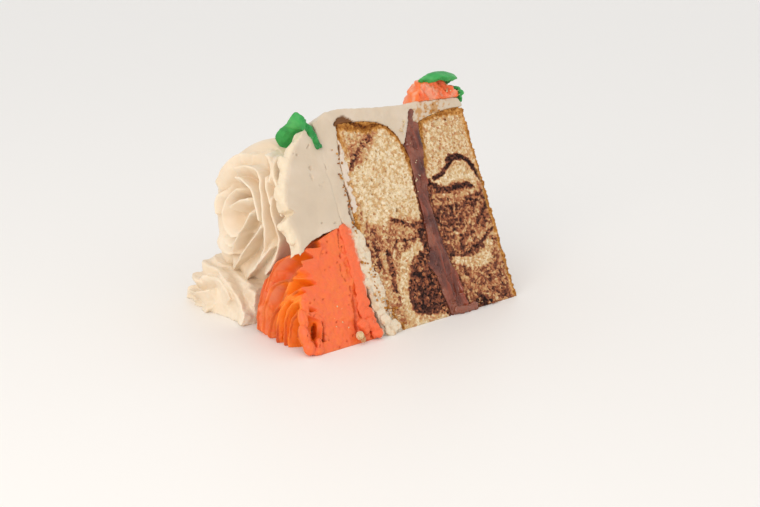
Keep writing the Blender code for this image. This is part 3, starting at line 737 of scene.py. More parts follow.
centreRosette = {
    "cuts": 290, "radius": 55.5, "height": 40.0, "fullness": 4.0, "heart": (0.0, 0.0), "dip": 11.0,
    "cup": 2.6, "drop": 1.0, "curl": 2.2, "lean": (0.11, -0.19), "reach": 8.0, "voxel": 0.43,
    "petals": [
        [(4.5, 19.2), (7.1, 17.1), (9.2, 15.1), (10.5, 12.9), (10.9, 9.8), (10.5, 6.9), (9.1, 4.3), (6.3, 2.0)],
        [(8.4, 22.0), (10.8, 19.2), (13.1, 16.0), (15.0, 12.9), (15.7, 10.1), (15.7, 6.7), (15.5, 3.0), (14.9, 0.1)],
        [(8.7, 23.4), (12.4, 21.4), (16.1, 19.0), (18.6, 16.1), (19.6, 13.6), (19.9, 9.6), (19.2, 4.7), (17.6, -0.4)],
        [(18.9, 20.9), (21.4, 18.0), (23.3, 14.6), (24.0, 11.0), (24.0, 7.6), (23.6, 4.2), (22.9, 1.0)],
        [(5.0, 29.7), (7.4, 27.7), (9.9, 25.7), (12.9, 23.1), (15.6, 21.3)],
        [(4.6, 31.6), (7.7, 30.2), (10.7, 28.0), (13.8, 25.8), (16.9, 23.6), (19.2, 21.9)],
        [(12.9, 39.7), (14.9, 36.6), (17.9, 33.2), (20.4, 29.7), (22.0, 26.4), (22.6, 23.5), (23.2, 18.4), (25.8, 14.1),
         (28.4, 9.9), (29.3, 7.0), (29.6, 3.8)],
        [(21.2, 28.2), (25.3, 26.7), (29.6, 24.5), (33.2, 22.2), (35.3, 19.6), (36.0, 16.4), (36.1, 13.3), (35.5, 10.1),
         (35.1, 7.1), (34.9, 4.1)],
        [(18.1, 45.1), (17.3, 43.2), (17.4, 41.2), (18.4, 39.2), (18.2, 37.5)],
        [(20.9, 41.2), (25.0, 39.2), (28.9, 37.2), (33.2, 35.5), (36.1, 33.0), (38.7, 29.4), (39.0, 26.2),
         (39.0, 22.0)],
        [(43.2, 19.0), (43.2, 11.8), (41.4, 9.6), (41.2, 6.9), (39.9, 4.2)],
        [(12.0, 51.0), (22.0, 48.0), (32.0, 43.0), (41.0, 36.0)],
    ],
}
footRosette = {
    "cuts": 150, "radius": 15.0, "height": 14.4, "fullness": 1.7, "heart": (0.0, 0.0), "dip": 1.8,
    "cup": 2.0, "drop": 1.2, "curl": 0.6, "voxel": 0.42, "place": (15.2, 107),  # height and radius
    "petals": [
        [(reach * math.cos(math.radians(start + 7 * reach)), reach * math.sin(math.radians(start + 7 * reach)))
         for reach in (2, 5, 8, 11, 14, 17)] for start in range(0, 360, 45)
    ],
}


def petalLips(look, places, seed):
    # how strongly each place belongs to a petal's lip, 0 to 1, its share of the way to the rim, and the way outwards
    heart = np.array(look["heart"]) / look["radius"]
    offset = places - heart
    along, room = offset @ heart, 1 - heart @ heart
    share = np.maximum((along + np.sqrt(along**2 + room * (offset**2).sum(1))) / room, 1e-6)
    spots = places * look["radius"]
    flat = np.column_stack([spots, share * 0]) * mm
    spots = spots + 0.5 * np.stack([lumps(flat, 6, 2, seed + k) for k in (1, 2)], 1)
    cup = look["cup"] * (0.55 + 0.45 * ease(0.15, 0.6, share))
    lip = np.zeros(len(places))
    for petal in look["petals"]:
        edge = [Vector((*point, 0)) for point in petal]
        if "reach" in look:  # runs on past the floor and the cut, where the flower is trimmed
            edge.insert(0, edge[0] + (edge[0] - edge[1]).normalized() * look["reach"])
            edge.append(edge[-1] + (edge[-1] - edge[-2]).normalized() * look["reach"])
        edge = np.array([alongLine(edge, t / edgeSteps)[:2] for t in range(edgeSteps + 1)])
        near, t = lineDistance(spots[:, 0], spots[:, 1], edge)
        # the side away from the heart is outside
        steps = edge[1:] - edge[:-1]
        k = np.minimum((t * edgeSteps).astype(int), edgeSteps - 1)
        away, run = spots - edge[k], steps[k]
        turn = run[:, 0] * away[:, 1] - run[:, 1] * away[:, 0]
        inward = np.array(look["heart"]) - edge[:-1]
        heartSide = np.sign((steps[:, 0] * inward[:, 1] - steps[:, 1] * inward[:, 0]).sum())
        inside = turn * heartSide > 0
        length = np.hypot(*steps.T).sum()
        strength = np.clip(0.35 + np.minimum(t, 1 - t) * length / 5, 0, 1)
        rise = np.exp(-((np.maximum(near - 0.4, 0) / cup) ** 1.25))
        drop = fade(0.2, look["drop"], near)
        lip = np.maximum(lip, np.where(inside, rise, drop) * strength)
    return lip, share, offset / np.maximum(np.hypot(*offset.T), 1e-6)[:, None]


def pipedFlower(name, look, seed):
    # a grid drawn into a disc and raised into a dome; each petal rises to its edge, curls over and drops
    piece = flatGrid(name, look["cuts"], look["cuts"])
    square = readPoints(piece)[:, :2]
    places = square * np.sqrt(1 - square[:, ::-1] ** 2 / 2)
    lip, share, outward = petalLips(look, places, seed)
    # the petals lie closer together, with shallower cups, where the flower is calm
    calm = look.get("calm", (0, 0, 0))
    calmness = np.clip(places @ np.array(calm[:2]) + calm[2], 0, 0.75) * ease(0.4, 0.7, share)
    dip = look["dip"] * (1 - lip) * np.clip(look.get("heartDepth", 0.45) + 1.5 * share, 0, 1) * (1 - calmness)
    rim = np.clip(np.hypot(places[:, 0], places[:, 1]), 0, 1)
    fullness = look["fullness"] + look.get("fuller", 0) * ease(0.1, 0.6, places[:, 0])
    dome = (1 - rim**fullness) ** (1 / fullness)
    spots = places * look["radius"]
    lean = spots @ np.array(look.get("lean", (0, 0)))
    height = np.maximum(dome * (look["height"] + lean) - dip * np.clip(1.6 * dome, 0, 1), 0)
    soft = np.column_stack([spots, height]) * mm
    height += lumps(soft, 6, 2, seed + 31) * 0.45 * np.clip(dome * 3, 0, 1)
    shift = outward * (look["curl"] * lip**2 * np.clip(dome * 1.5, 0, 1))[:, None]
    writePoints(piece, np.column_stack([spots + shift, height]) * mm)
    shade = look.get("shaded", 0) * ease(0.4, 0.95, 1 - lip) * (1 - calmness) * ease(0.05, 0.3, dome)
    writeShares(piece, shade=shade)
    with editing(piece, everything=True):
        bpy.ops.mesh.vertices_smooth(factor=0.5, repeat=2)
        bpy.ops.mesh.select_all(action="DESELECT")
        bpy.ops.mesh.select_non_manifold(extend=False, use_boundary=True)
        bpy.ops.mesh.edge_face_add()
    return piece


def flatGrid(name, rows, columns):
    bpy.ops.object.select_all(action="DESELECT")
    bpy.ops.mesh.primitive_grid_add(x_subdivisions=rows, y_subdivisions=columns, size=2)
    grid = bpy.context.object
    grid.name = grid.data.name = name
    return grid


def settle(piece, foot, sink):
    # pushes a piped piece's foot, at a height over the cake's base, down into the coat
    points = readPoints(piece)
    over = cakeCoordinates(points)[0] - foot
    points[:, 0] += sink * mm * fade(0, 2.5, over)
    writePoints(piece, points)


def setFlower(piece, place, planes):
    # lays a flower made upright at the origin in its place, and keeps what lies inside each plane, given as a point and
    # its outward normal, with each cut closed
    piece.data.transform(place)
    with editing(piece, everything=True):
        bpy.ops.mesh.normals_make_consistent(inside=False)
        for point, normal in planes:
            bpy.ops.mesh.select_all(action="SELECT")
            bpy.ops.mesh.bisect(plane_co=point, plane_no=normal, use_fill=True, clear_outer=True, threshold=1e-6)
    piece.data.shade_smooth()


def onTop(middle, height):
    # the place of a flower that stands on the cake's top, its middle across the top given from the cake's axis
    turn = Matrix(((0, 0, -1), (1, 0, 0), (0, 1, 0))).to_4x4()
    return Matrix.Translation(cakePoint(height, 0) + middle * mm) @ turn


def onSide(height, radius, angle):
    outward = Vector((0, math.cos(angle), math.sin(angle)))
    roundSide = Vector((0, -math.sin(angle), math.cos(angle)))
    turn = Matrix((Vector((-1, 0, 0)), roundSide, outward)).transposed().to_4x4()
    return Matrix.Translation(cakePoint(height, radius, angle)) @ turn


# Planes between the flowers, each a point and the normal that faces out of the piece it trims.
roseMiddle = Vector((0, 64.0, 46.0))
lowerMiddle = Vector((0, 74.0, -6.0))
toRose = roseMiddle.normalized()
toLower = (lowerMiddle - roseMiddle).normalized()
toLeaf = Vector((0, -0.21, 0.978))
topFoot, lowFoot = 101.2, 95.3  # heights at which the flowers' feet are trimmed off
aboveCoat = (cakePoint(topFoot, 0), Vector((1, 0, 0)))
aboveLowCoat = (cakePoint(lowFoot, 0), Vector((1, 0, 0)))
floorPlane = (Vector((0, 0, 0)), Vector((0, 0, -1)))
shownCut = (tip, cutNormal)
behindCutRose = (cakePoint(100, 0, behind=8.8), (cutNormal + Vector((0.13, 0, 0))).normalized())
roseSide = (cakePoint(0, 0) + toRose * 46.0 * mm, toRose)
leafSide = (cakePoint(0, 0) + (roseMiddle + toLeaf * 34.5) * mm, toLeaf)
byLowerRose = (cakePoint(0, 50.3, 0), Vector((0, 1, 0)))
lowerSide = (cakePoint(0, 0) + (roseMiddle + toLower * 31.5) * mm, toLower)
belowCutRose = (cakePoint(100, 54.6), Vector((-0.297, *(0.955 * alongCut).yz)))


def facing(plane, gap=0.4):
    # the same plane for the piece on its other side, a gap away
    return plane[0] + plane[1] * gap * mm, -plane[1]


def whiteRosePiece():
    piece = pipedFlower("whiteRose", whiteRose, 1)
    setFlower(piece, onTop(roseMiddle, 100), [aboveCoat, floorPlane, facing(roseSide, 2.8), behindCutRose, leafSide])
    settle(piece, topFoot, 1.6)
    finishPiece(piece, roseIcing, "white_icing", "white_rose")


def lowerRosePiece():
    piece = pipedFlower("lowerRose", lowerRose, 2)
    setFlower(piece, onTop(lowerMiddle, 100), [aboveCoat, floorPlane, facing(lowerSide, -4), facing(byLowerRose)])
    remeshed(piece, lowerRose["voxel"])
    settle(piece, topFoot, 1.6)
    points, normals = readPoints(piece), readNormals(piece)
    moveOut(piece, points, normals, lumps(points, 5, 3, 33) * 0.4)
    finishPiece(piece, roseIcing, "white_icing", "lower_rose")


rosetteFace = {
    "lumps": 0.5, "pits": 1.1, "cracks": 0.7, "broken": 1.1, "gap": 1.1,
    "hollow": (127.2, 10.0), "hollowSize": (2.5, 4.6), "hollowDepth": 6.0,  # an angular hollow under the curled petal
}
# A ragged gap parts the cut rosette from the icing wiped over the coat beside it: points of (height, radius).
besideRosette = [
    (101.5, 53), (103.4, 46), (104.0, 41.5), (106.0, 37), (106.6, 31.5), (103.8, 27), (103.6, 20.5), (105.4, 11.5),
    (107, 4),
]
# A petal curled over at the foot, as lumps: height, radius, depth behind the cut, and half-sizes.
curledPetal = [
    (130.6, 22.5, 2.4, 1.8, 4.2, 2.2), (133.4, 17.5, 2.0, 2.0, 4.6, 2.6), (135.4, 10.5, 1.6, 2.2, 5.0, 3.0),
    (134.9, 4.5, 1.2, 2.6, 3.4, 3.0), (131.0, 2.2, 0.8, 3.2, 2.0, 2.4), (129.6, 5.2, 0.4, 1.5, 2.6, 1.6),
]


def orangeRosette():
    dome = pipedFlower("orangeRosette", centreRosette, 3)
    intoRose = (roseSide[0] + toRose * 8 * mm, toRose)
    planes = [aboveLowCoat, floorPlane, shownCut, intoRose, belowCutRose, byLowerRose]
    setFlower(dome, onTop(Vector((0, 0, 0)), 95), planes)
    piece = joined([dome] + [addLump(*lump) for lump in curledPetal], "orangeRosette")
    remeshed(piece, centreRosette["voxel"])
    points, normals = readPoints(piece), readNormals(piece)
    across = (points - np.array(tip))[:, 1:] / mm
    lip = petalLips(centreRosette, across / centreRosette["radius"], 3)[0]
    cut = facesCut(normals, 0.7, 0.97)
    heights, radii, behind = cakeCoordinates(points)
    look = rosetteFace
    near, pick = cells(points, 2.8, 41)
    pits = fade(0.05, 0.22, near) * ease(0.55, 0.8, pick)
    crack = fade(0.0, 0.08, np.abs(lumps(points * (1, 0.6, 0.6), 7, 2, 42)))
    crack *= ease(0.1, 0.5, lumps(points, 12, 1, 44))
    ragged = lumps(points, 3, 3, 45)
    away, along = lineDistance(heights, radii, besideRosette)
    wide = 0.3 + 0.7 * ease(0.0, 0.5, lumps(points, 7, 1, 47)) + 1.2 * ease(0.65, 0.95, along)
    gap = fade(0.35, 1.0, (away + ragged * 0.7) / wide)
    beside = fade(-1.0, 0.6, heights - 103.5 + ragged * 0.8)
    sideways, up = ((np.stack([heights, radii], 1) - look["hollow"]) / look["hollowSize"]).T
    hollow = np.maximum(np.abs(sideways + 0.35 * up), np.abs(up) * 0.9 + 0.25 * np.abs(sideways)) + ragged * 0.2
    hollow = fade(0.7, 1.05, hollow)
    face = lumps(points, 6, 2, 43) * look["lumps"] + lumps(points, 1.6, 2, 46) * 0.25 - 0.35
    face -= pits * look["pits"] + crack * look["cracks"]
    face += beside * (lumps(points, 3.5, 3, 48) * look["broken"] - 0.2)
    face -= gap * look["gap"] + hollow * look["hollowDepth"]
    moveOut(piece, points, normals, cut * face)
    # coral where it is cut, and over the broad petals at the back; brighter orange on the fins between
    broad = ease(27, 33, across[:, 0] + ragged)
    coral = np.maximum(fade(0.8, 2.6, behind + ragged * 0.8), 0.55 * broad)
    pale = fade(93.6, 96.4, heights + ragged * 1.6) * cut
    # the lips of the broad petals at the back are painted paler too: a painted highlight on their ridges
    pale = np.maximum(pale, 0.22 * broad * ease(0.3, 0.9, lip) * (1 - cut))
    mottled = ease(-0.4, 0.5, lumps(points, 3, 3, 49))
    cups = (0.6 - 0.25 * broad) * ease(0.5, 0.95, 1 - lip) * ease(1.5, 4, behind)
    shade = np.maximum(gap * 0.3, hollow * 0.75) * cut + 0.4 * (pits + crack) * cut
    writeShares(piece, stain=coral * (0.72 + 0.28 * mottled), pale=pale, shade=np.maximum(shade, cups))
    finishPiece(piece, orangeIcing, "orange_icing", "centre_rosette")


# The cut rose all round: the edge of its flat face, then where its rim bulges behind that, each as (height, radius).
cutRoseEdge = [
    (100.2, 92.0, 100.2, 93.0), (102.4, 96.6, 102.0, 97.6), (104.4, 102.2, 103.4, 101.6), (105.0, 102.0, 103.9, 101.5),
    (107.4, 98.3, 108.3, 98.8), (112.2, 93.4, 114.2, 95.4), (116.3, 88.4, 118.9, 89.8), (119.9, 82.2, 122.6, 83.8),
    (123.0, 76.6, 125.6, 77.9), (125.6, 70.6, 127.4, 70.2), (125.6, 66.9, 125.8, 67.0), (122.9, 65.2, 122.6, 64.6),
    (125.8, 62.8, 129.2, 61.8), (124.6, 58.8, 130.8, 59.4), (123.8, 54.1, 128.8, 56.0), (124.6, 49.5, 125.8, 51.4),
    (127.2, 44.4, 125.8, 46.2), (122.6, 48.4, 122.4, 48.8), (118.5, 50.4, 118.5, 50.8), (113.2, 51.8, 113.2, 52.2),
    (104.7, 53.2, 104.7, 53.6), (100.2, 53.8, 100.2, 54.2),
]
# Its rings from the face backwards: depth behind the cut, and the share of the way from the face's edge to the rim.
cutRoseRings = [(0.0, 0.0), (0.7, 0.3), (2.0, 0.8), (3.4, 1.0), (5.6, 0.85), (8.4, 0.3)]
# The lumps of its petal ends round that face: height, radius, depth behind the cut, and half-sizes.
petalEnds = [
    (129.6, 59.8, 4.2, 1.8, 2.2, 2.0), (125.2, 74.0, 4.6, 2.6, 5.0, 3.2), (118.6, 87.0, 4.4, 2.6, 5.6, 3.0),
    (126.6, 54.0, 3.6, 2.2, 3.4, 2.4), (111.5, 94.4, 3.4, 1.8, 2.8, 2.2),
    (100.6, 90.5, 2.0, 2.4, 4.0, 1.4), (100.6, 82.0, 1.9, 2.2, 7.2, 1.4), (100.7, 69.5, 1.8, 2.4, 8.6, 1.4),
    (100.8, 58.5, 1.9, 2.2, 5.0, 1.4),
]


cutRoseLook = {
    "voxel": 0.4, "pits": 1.1, "scratches": 0.8, "dent": (107.2, 83.5), "dentDepth": 0.9, "bow": 0.5, "ruffle": 0.6,
}


def addLump(height, radius, behind, halfHeight, halfRadius, thick, detail=3):
    # an egg shape laid in the shown cut face
    axes = Matrix((Vector((-1, 0, 0)), alongCut, cutNormal)).transposed().to_4x4()
    middle = cakePoint(height, radius, behind=behind)
    bpy.ops.object.select_all(action="DESELECT")
    bpy.ops.mesh.primitive_ico_sphere_add(subdivisions=detail, radius=mm)
    lump = bpy.context.object
    lump.data.transform(Matrix.Translation(middle) @ axes @ Matrix.Diagonal((halfHeight, halfRadius, thick, 1)))
    return lump


def joined(pieces, name):
    bpy.ops.object.select_all(action="DESELECT")
    for piece in pieces:
        piece.select_set(True)
    bpy.context.view_layer.objects.active = pieces[0]
    bpy.ops.object.join()
    pieces[0].name = pieces[0].data.name = name
    return pieces[0]


def cutRoseSlab():
    # a grid wrapped round the cut rose, ring behind ring, its seam merged and its two ends filled
    around, rings = len(cutRoseEdge), len(cutRoseRings)
    slab = flatGrid("cutRose", around, rings - 1)
    points = []
    for x, y, z in readPoints(slab):
        faceHeight, faceRadius, rimHeight, rimRadius = cutRoseEdge[round((x / 2 + 0.5) * around) % around]
        depth, share = cutRoseRings[round((y / 2 + 0.5) * (rings - 1))]
        height = faceHeight + (rimHeight - faceHeight) * share
        radius = faceRadius + (rimRadius - faceRadius) * share
        points.append(cakePoint(height, radius, behind=depth))
    writePoints(slab, points)
    with editing(slab, everything=True):
        bpy.ops.mesh.remove_doubles(threshold=mergeDistance)
        bpy.ops.mesh.fill_holes(sides=0)
        bpy.ops.mesh.select_all(action="SELECT")
        bpy.ops.mesh.normals_make_consistent(inside=False)
    return slab


def cutRosePiece():
    look = cutRoseLook
    piece = joined([cutRoseSlab()] + [addLump(*end) for end in petalEnds], "cutRose")
    remeshed(piece, look["voxel"])
    piece.data.vertices.foreach_set("select", cakeCoordinates(readPoints(piece))[2] > 0.8)
    with editing(piece):
        bpy.ops.mesh.vertices_smooth(factor=0.5, repeat=3)
    settle(piece, topFoot, 1.8)
    points, normals = readPoints(piece), readNormals(piece)
    heights, radii, behind = cakeCoordinates(points)
    cut = facesCut(normals, 0.6) * fade(0.5, 1.5, behind)
    near, pick = cells(points, 4, 51)
    pits = fade(0.05, 0.18, near) * ease(0.84, 0.95, pick)
    scratch = fade(0.0, 0.08, np.abs(lumps(points * (1, 0.4, 0.4), 9, 2, 52)))
    scratch *= ease(0.3, 0.5, lumps(points, 4.5, 1, 55))
    dent = fade(0.6, 1.4, np.hypot(heights - look["dent"][0], radii - look["dent"][1]))
    face = lumps(points, 14, 2, 53) * look["bow"] - 0.2
    face -= pits * look["pits"] + scratch * look["scratches"] + dent * look["dentDepth"]
    side = lumps(points, 5, 3, 54) * look["ruffle"] - 0.1
    moveOut(piece, points, normals, cut * face + (1 - cut) * side)
    writeShares(piece, cream=ease(0.3, 1.6, behind))
    finishPiece(piece, whiteIcingInShade, "white_icing", "cut_rose")


footAngles = (61, 37, 13)  # degrees round the cake's axis


def footRosettePieces():
    look = footRosette
    for number, degrees in enumerate(footAngles, 1):
        angle = math.radians(degrees)
        piece = pipedFlower(f"footRosette{number}", look, 59 + number)
        outside = (cakePoint(0, 107.4, angle), Vector((0, -math.cos(angle), -math.sin(angle))))
        setFlower(piece, onSide(*look["place"], angle), [outside, floorPlane, shownCut])
        remeshed(piece, look["voxel"])
        points, normals = readPoints(piece), readNormals(piece)
        behind = cakeCoordinates(points)[2]
        # the cut face of the first is broken and streaky
        ragged = lumps(points, 2.2, 3, 64)
        broken = facesCut(normals, 0.7) * fade(0.2, 0.8, behind)
        strokes = lumps(points @ ((1.0, 0.2, 0.2), (0.5, 0.4, 0.0), (0.5, 0.0, 0.4)), 3.2, 2, 66)
        moveOut(piece, points, normals, ragged * (0.25 + 0.7 * broken) + strokes * broken * 1.4)
        # light streaks of less coloured icing follow the swirl
        local = points - np.array(cakePoint(*look["place"], angle))
        swirl = lumps(local @ ((1.0, 0.3, 0.0), (-0.3, 1.0, 0.0), (0.0, 0.0, 0.3)), 4, 2, 65)
        writeShares(piece, stain=0.5 + 0.4 * broken, pale=0.36 * ease(0.0, 0.4, swirl))
        finishPiece(piece, orangeIcing, "orange_icing", f"base_rosette_{number}")


whiteRosePiece()
lowerRosePiece()
orangeRosette()
cutRosePiece()
footRosettePieces()


# Smears, drips and crumbs.

# Each is dabbed along a line of (height, radius) in the shown cut face: its icing, how many dabs, their half-sizes
# along height, radius and outwards, how far they stray, how far their middles stand in front of the face, and a seed.
smears = {
    "whiteSmearLow": {
        "icing": "white", "count": 40, "size": (3.8, 5.2, 1.0), "stray": 0.9, "front": -0.2, "seed": 5,
        "line": [(93, 48), (92.4, 38), (91.4, 30), (88.8, 24.5), (90.5, 16), (90, 7)],
    },
    "orangeSmear": {
        "icing": "orange", "count": 38, "size": (3.2, 4.6, 1.0), "stray": 1.1, "front": -0.1, "seed": 7,
        "line": [(98, 51), (98.2, 42), (98.4, 32), (99, 20), (99, 9)],
    },
    "orangeFoot": {
        "icing": "orange", "count": 22, "size": (2.6, 2.6, 2.0), "stray": 0.9, "front": 1.4, "seed": 8,
        "line": [(105, 7), (102, 8), (98.5, 7), (96.5, 2.5)],
    },
    "whiteFoot": {
        "icing": "white", "count": 26, "size": (2.2, 2.0, 1.5), "stray": 0.9, "front": 0.9, "seed": 9,
        "line": [(92, 6.5), (88, 5.5), (85, 3.5), (87, 1.5), (92, 2)],
    },
    "fudgeFoot": {
        "icing": "fudge", "count": 18, "size": (2.8, 1.6, 1.4), "stray": 0.7, "front": 0.7, "seed": 10,
        "line": [(44, 2.0), (38, 1.6), (31, 1.4)],
    },
    "fudgePool": {
        "icing": "fudge", "count": 14, "size": (2.0, 2.2, 0.7), "stray": 0.4, "front": 0.0, "seed": 14,
        "line": [(48.5, 32), (51.6, 28), (50.6, 24.5), (48, 21)],
    },
    "fudgePeak": {
        "icing": "fudge", "count": 9, "size": (1.6, 1.9, 0.8), "stray": 0.35, "front": -0.2, "seed": 12,
        "line": [(39.5, 96), (38.2, 99), (37, 101.5), (36.3, 103)],
    },
}
dabVoxel = 0.36
smearFinish = {
    "white": (whiteIcingInShade, "white_icing"), "orange": (orangeIcing, "orange_icing"), "fudge": (fudgeMaterial, "fudge"),
}


def strayFrom(line, t, stray, draw):
    # a place near the point at t, counted in the line's points
    k = min(int(t), len(line) - 2)
    return line[k] + (line[k + 1] - line[k]) * (t - k) + draw.normal(0, stray, 2)


def dabbed(name, look):
    draw = np.random.default_rng(look["seed"])
    line = np.array(look["line"], float)
    dabs = []
    for i in range(look["count"]):
        height, radius = strayFrom(line, (i + 0.5) / look["count"] * (len(line) - 1), look["stray"], draw)
        size = [half * draw.uniform(0.55, 1.25) for half in look["size"]]
        dabs.append(addLump(height, max(radius, 0.8), -look["front"] - draw.uniform(-0.3, 0.3), *size, detail=2))
    piece = joined(dabs, name)
    remeshed(piece, dabVoxel)
    points, normals = readPoints(piece), readNormals(piece)
    moveOut(piece, points, normals, lumps(points, 3.2, 4, look["seed"]) * 0.55)
    heights = cakeCoordinates(points)[0]
    if look["icing"] == "orange":  # paler where it thins out over the white
        pale = fade(93.6, 96.4, heights + lumps(points, 3, 3, 45) * 1.6)
        writeShares(piece, stain=np.ones(len(points)), pale=pale)
    elif look["icing"] == "white":  # stained by crumb, and by the orange beside it
        stain = 0.4 * ease(0.1, 0.5, lumps(points, 2.2, 3, look["seed"] + 1))
        blush = 0.8 * ease(93.5, 96.5, heights + lumps(points, 3, 2, 28) * 1.6)
        writeShares(piece, cream=np.full(len(points), 0.7), stain=stain, blush=blush)
    finishPiece(piece, *smearFinish[look["icing"]])


for smearName, smearLook in smears.items():
    dabbed(smearName, smearLook)

# Loose crumbs caught on the icing and fudge, and a few fallen at the foot: how many, how far they stray, how far in
# front of the cut face, their half-size, their share of cocoa and of crust, and the (height, radius) line they lie on.
crumbTrails = [
    (10, 0.8, 0.6, 0.26, 0.0, 0.0, [(43, 96), (44, 85), (43.4, 74), (46.2, 66), (45.4, 53)]),
    (60, 2.0, 0.7, 0.6, 0.1, 0.2, [(92, 38), (90, 26), (87, 12), (82, 3)]),
    (10, 2.0, 0.2, 0.5, 0.1, 0.3, [(26, 104), (14, 100)]),
    (22, 1.0, 0.2, 0.5, 0.3, 0.2, [(90.4, 92), (91, 84), (92, 66), (91, 46)]),
    (7, 2.0, 0.1, 0.24, 0.0, 0.0, [(113, 26), (116, 12), (113, 6)]),
    (16, 0.7, 0.4, 0.34, 0.0, 0.0, [(42, 100), (45, 96), (47, 93)]),
    (12, 1.2, 0.1, 0.4, 0.05, 0.05, [(10, 113), (4, 112), (1, 109)]),
    (26, 1.0, 1.0, 0.7, 0.5, 0.0, [(31, 3), (24, 1.6), (14, 1.2)]),
    (1, 0.1, 2.2, 1.8, 0.12, 0.0, [(108.0, 3.4), (107.8, 3.4)]),
    (1, 0.1, 2.6, 1.5, 0.3, 0.0, [(107.4, 1.6), (107.0, 1.6)]),
]


def looseCrumbs():
    draw = np.random.default_rng(21)
    made, counts, cocoas, crusts = [], [], [], []
    for count, stray, front, half, cocoa, crust, points in crumbTrails:
        line = np.array(points, float)
        for i in range(count):
            height, radius = strayFrom(line, draw.uniform(0, len(line) - 1), stray, draw)
            size = [half * draw.uniform(0.5, 1.5) for k in range(3)]
            made.append(addLump(height, max(radius, 0.6), -front * draw.uniform(0.6, 1.1), *size, detail=2))
            counts.append(len(made[-1].data.vertices))
            cocoas.append(min(cocoa * draw.uniform(0.3, 2.4), 1))
            crusts.append(crust * draw.uniform(0, 2))
    piece = joined(made, "looseCrumbs")
    points, normals = readPoints(piece), readNormals(piece)
    moveOut(piece, points, normals, lumps(points, 0.9, 2, 22) * 0.25)
    writeShares(piece, tone=0.02 + 0.6 * np.repeat(cocoas, counts), crust=np.repeat(crusts, counts))
    piece.data.shade_smooth()
    finishPiece(piece, spongeMaterial, "sponge")


looseCrumbs()


# Leaves.

def leafFrom(grid, look, node):
    # gives a leaf laid out as a sheet its thickness, and roughens it
    thick = grid.modifiers.new("thickness", "SOLIDIFY")
    thick.thickness = look["thickness"] * mm
    thick.offset = 0
    applyModifiers(grid)
    remeshed(grid, look["voxel"])
    points, normals = readPoints(grid), readNormals(grid)
    moveOut(grid, points, normals, lumps(points, 2.2, 2, 71) * 0.2, lowest=0.1)
    # darker in places, and painted shade where it meets the flowers
    heights = cakeCoordinates(points)[0]
    shadeNearFlowers = ease(90, 91, heights) * fade(101, 104, heights)
    writeShares(grid, shade=0.3 * ease(0.0, 0.5, lumps(points, 5, 2, 72)) + 0.4 * shadeNearFlowers)
    finishPiece(grid, greenIcing, "green_icing", node)


# The top leaf is a ribbon that lies over the cake's rim: its free edge, from the shown cut over the leaf's point and
# down its far side, and its seat, each as (height, radius, depth behind the cut).
topLeafLook = {
    "edge": [
        (99.0, 92.2, -1.8), (99.6, 94.0, -1.7), (100.2, 98.0, -1.4), (100.8, 102.2, -0.8), (101.6, 104.8, 1.2),
        (102.2, 107.8, 1.8), (104.5, 111.0, 3.5), (106.0, 107.8, 9.5), (106.5, 107.0, 12.5), (107.0, 106.3, 15.5),
        (107.5, 104.3, 18.5), (106.0, 101.0, 20.0), (104.0, 96.5, 19.0),
    ],
    "seat": [
        (100.6, 91.6, 0.4), (101.0, 92.6, 0.5), (101.4, 95.0, 1.0), (102.0, 97.5, 1.4), (102.6, 99.5, 2.0),
        (102.6, 101.0, 2.8), (101.4, 101.8, 4.5), (100.0, 102.0, 7.0), (99.4, 101.4, 9.0), (99.4, 100.2, 11.5),
        (99.4, 98.8, 14.0), (99.4, 97.0, 16.0), (99.4, 94.6, 17.5),
    ],
    "bulge": 1.6, "ruffle": 1.2, "fold": 0.7, "thickness": 1.5, "voxel": 0.35,
}


def topLeaf():
    look = topLeafLook
    edge, seat = ([cakePoint(h, r, behind=b) for h, r, b in look[line]] for line in ("edge", "seat"))
    grid = flatGrid("topLeaf", 150, 40)
    points = readPoints(grid)
    for i, (x, y, z) in enumerate(points):
        u, v = x / 2 + 0.5, y / 2 + 0.5
        spot = alongLine(seat, u).lerp(alongLine(edge, u), v)
        swelling = math.sin(math.pi * v)
        ruffled = look["ruffle"] * math.sin(52 * u + 2 * v) * fade(0.38, 0.5, u) * v**1.5
        fold = look["fold"] * math.exp(-(((u - 0.56 - 0.1 * v) / 0.03) ** 2)) * swelling
        spot.x += (fold - look["bulge"] * swelling * ease(0.3, 0.6, u)) * mm
        points[i] = spot + (Vector((-0.8, 0, 0)) + cutNormal * 0.6) * ruffled * mm
    writePoints(grid, points)
    leafFrom(grid, look, "leaf_top")


# The leaves over and under each foot rosette, each along a spine of (height, radius).
footLeafLook = {
    "rows": 60, "width": 14, "thickness": 2.6, "cupped": 0.36, "frill": 0.3, "waves": 1.0, "voxel": 0.3, "base": 0.04,
    "spine": [(-1.4, 117.6), (2.6, 119.6), (8.6, 120.8), (15.0, 120.6), (22.0, 118.2)],
}
underLeafLook = dict(
    footLeafLook, width=10, cupped=0.05, frill=1.0, thickness=1.8,
    spine=[(-1.0, 114.5), (-2.6, 111.5), (-3.0, 108.5), (-2.0, 105.0)],
)
overTurned = math.radians(2.0)  # the upper leaves sit a little askew


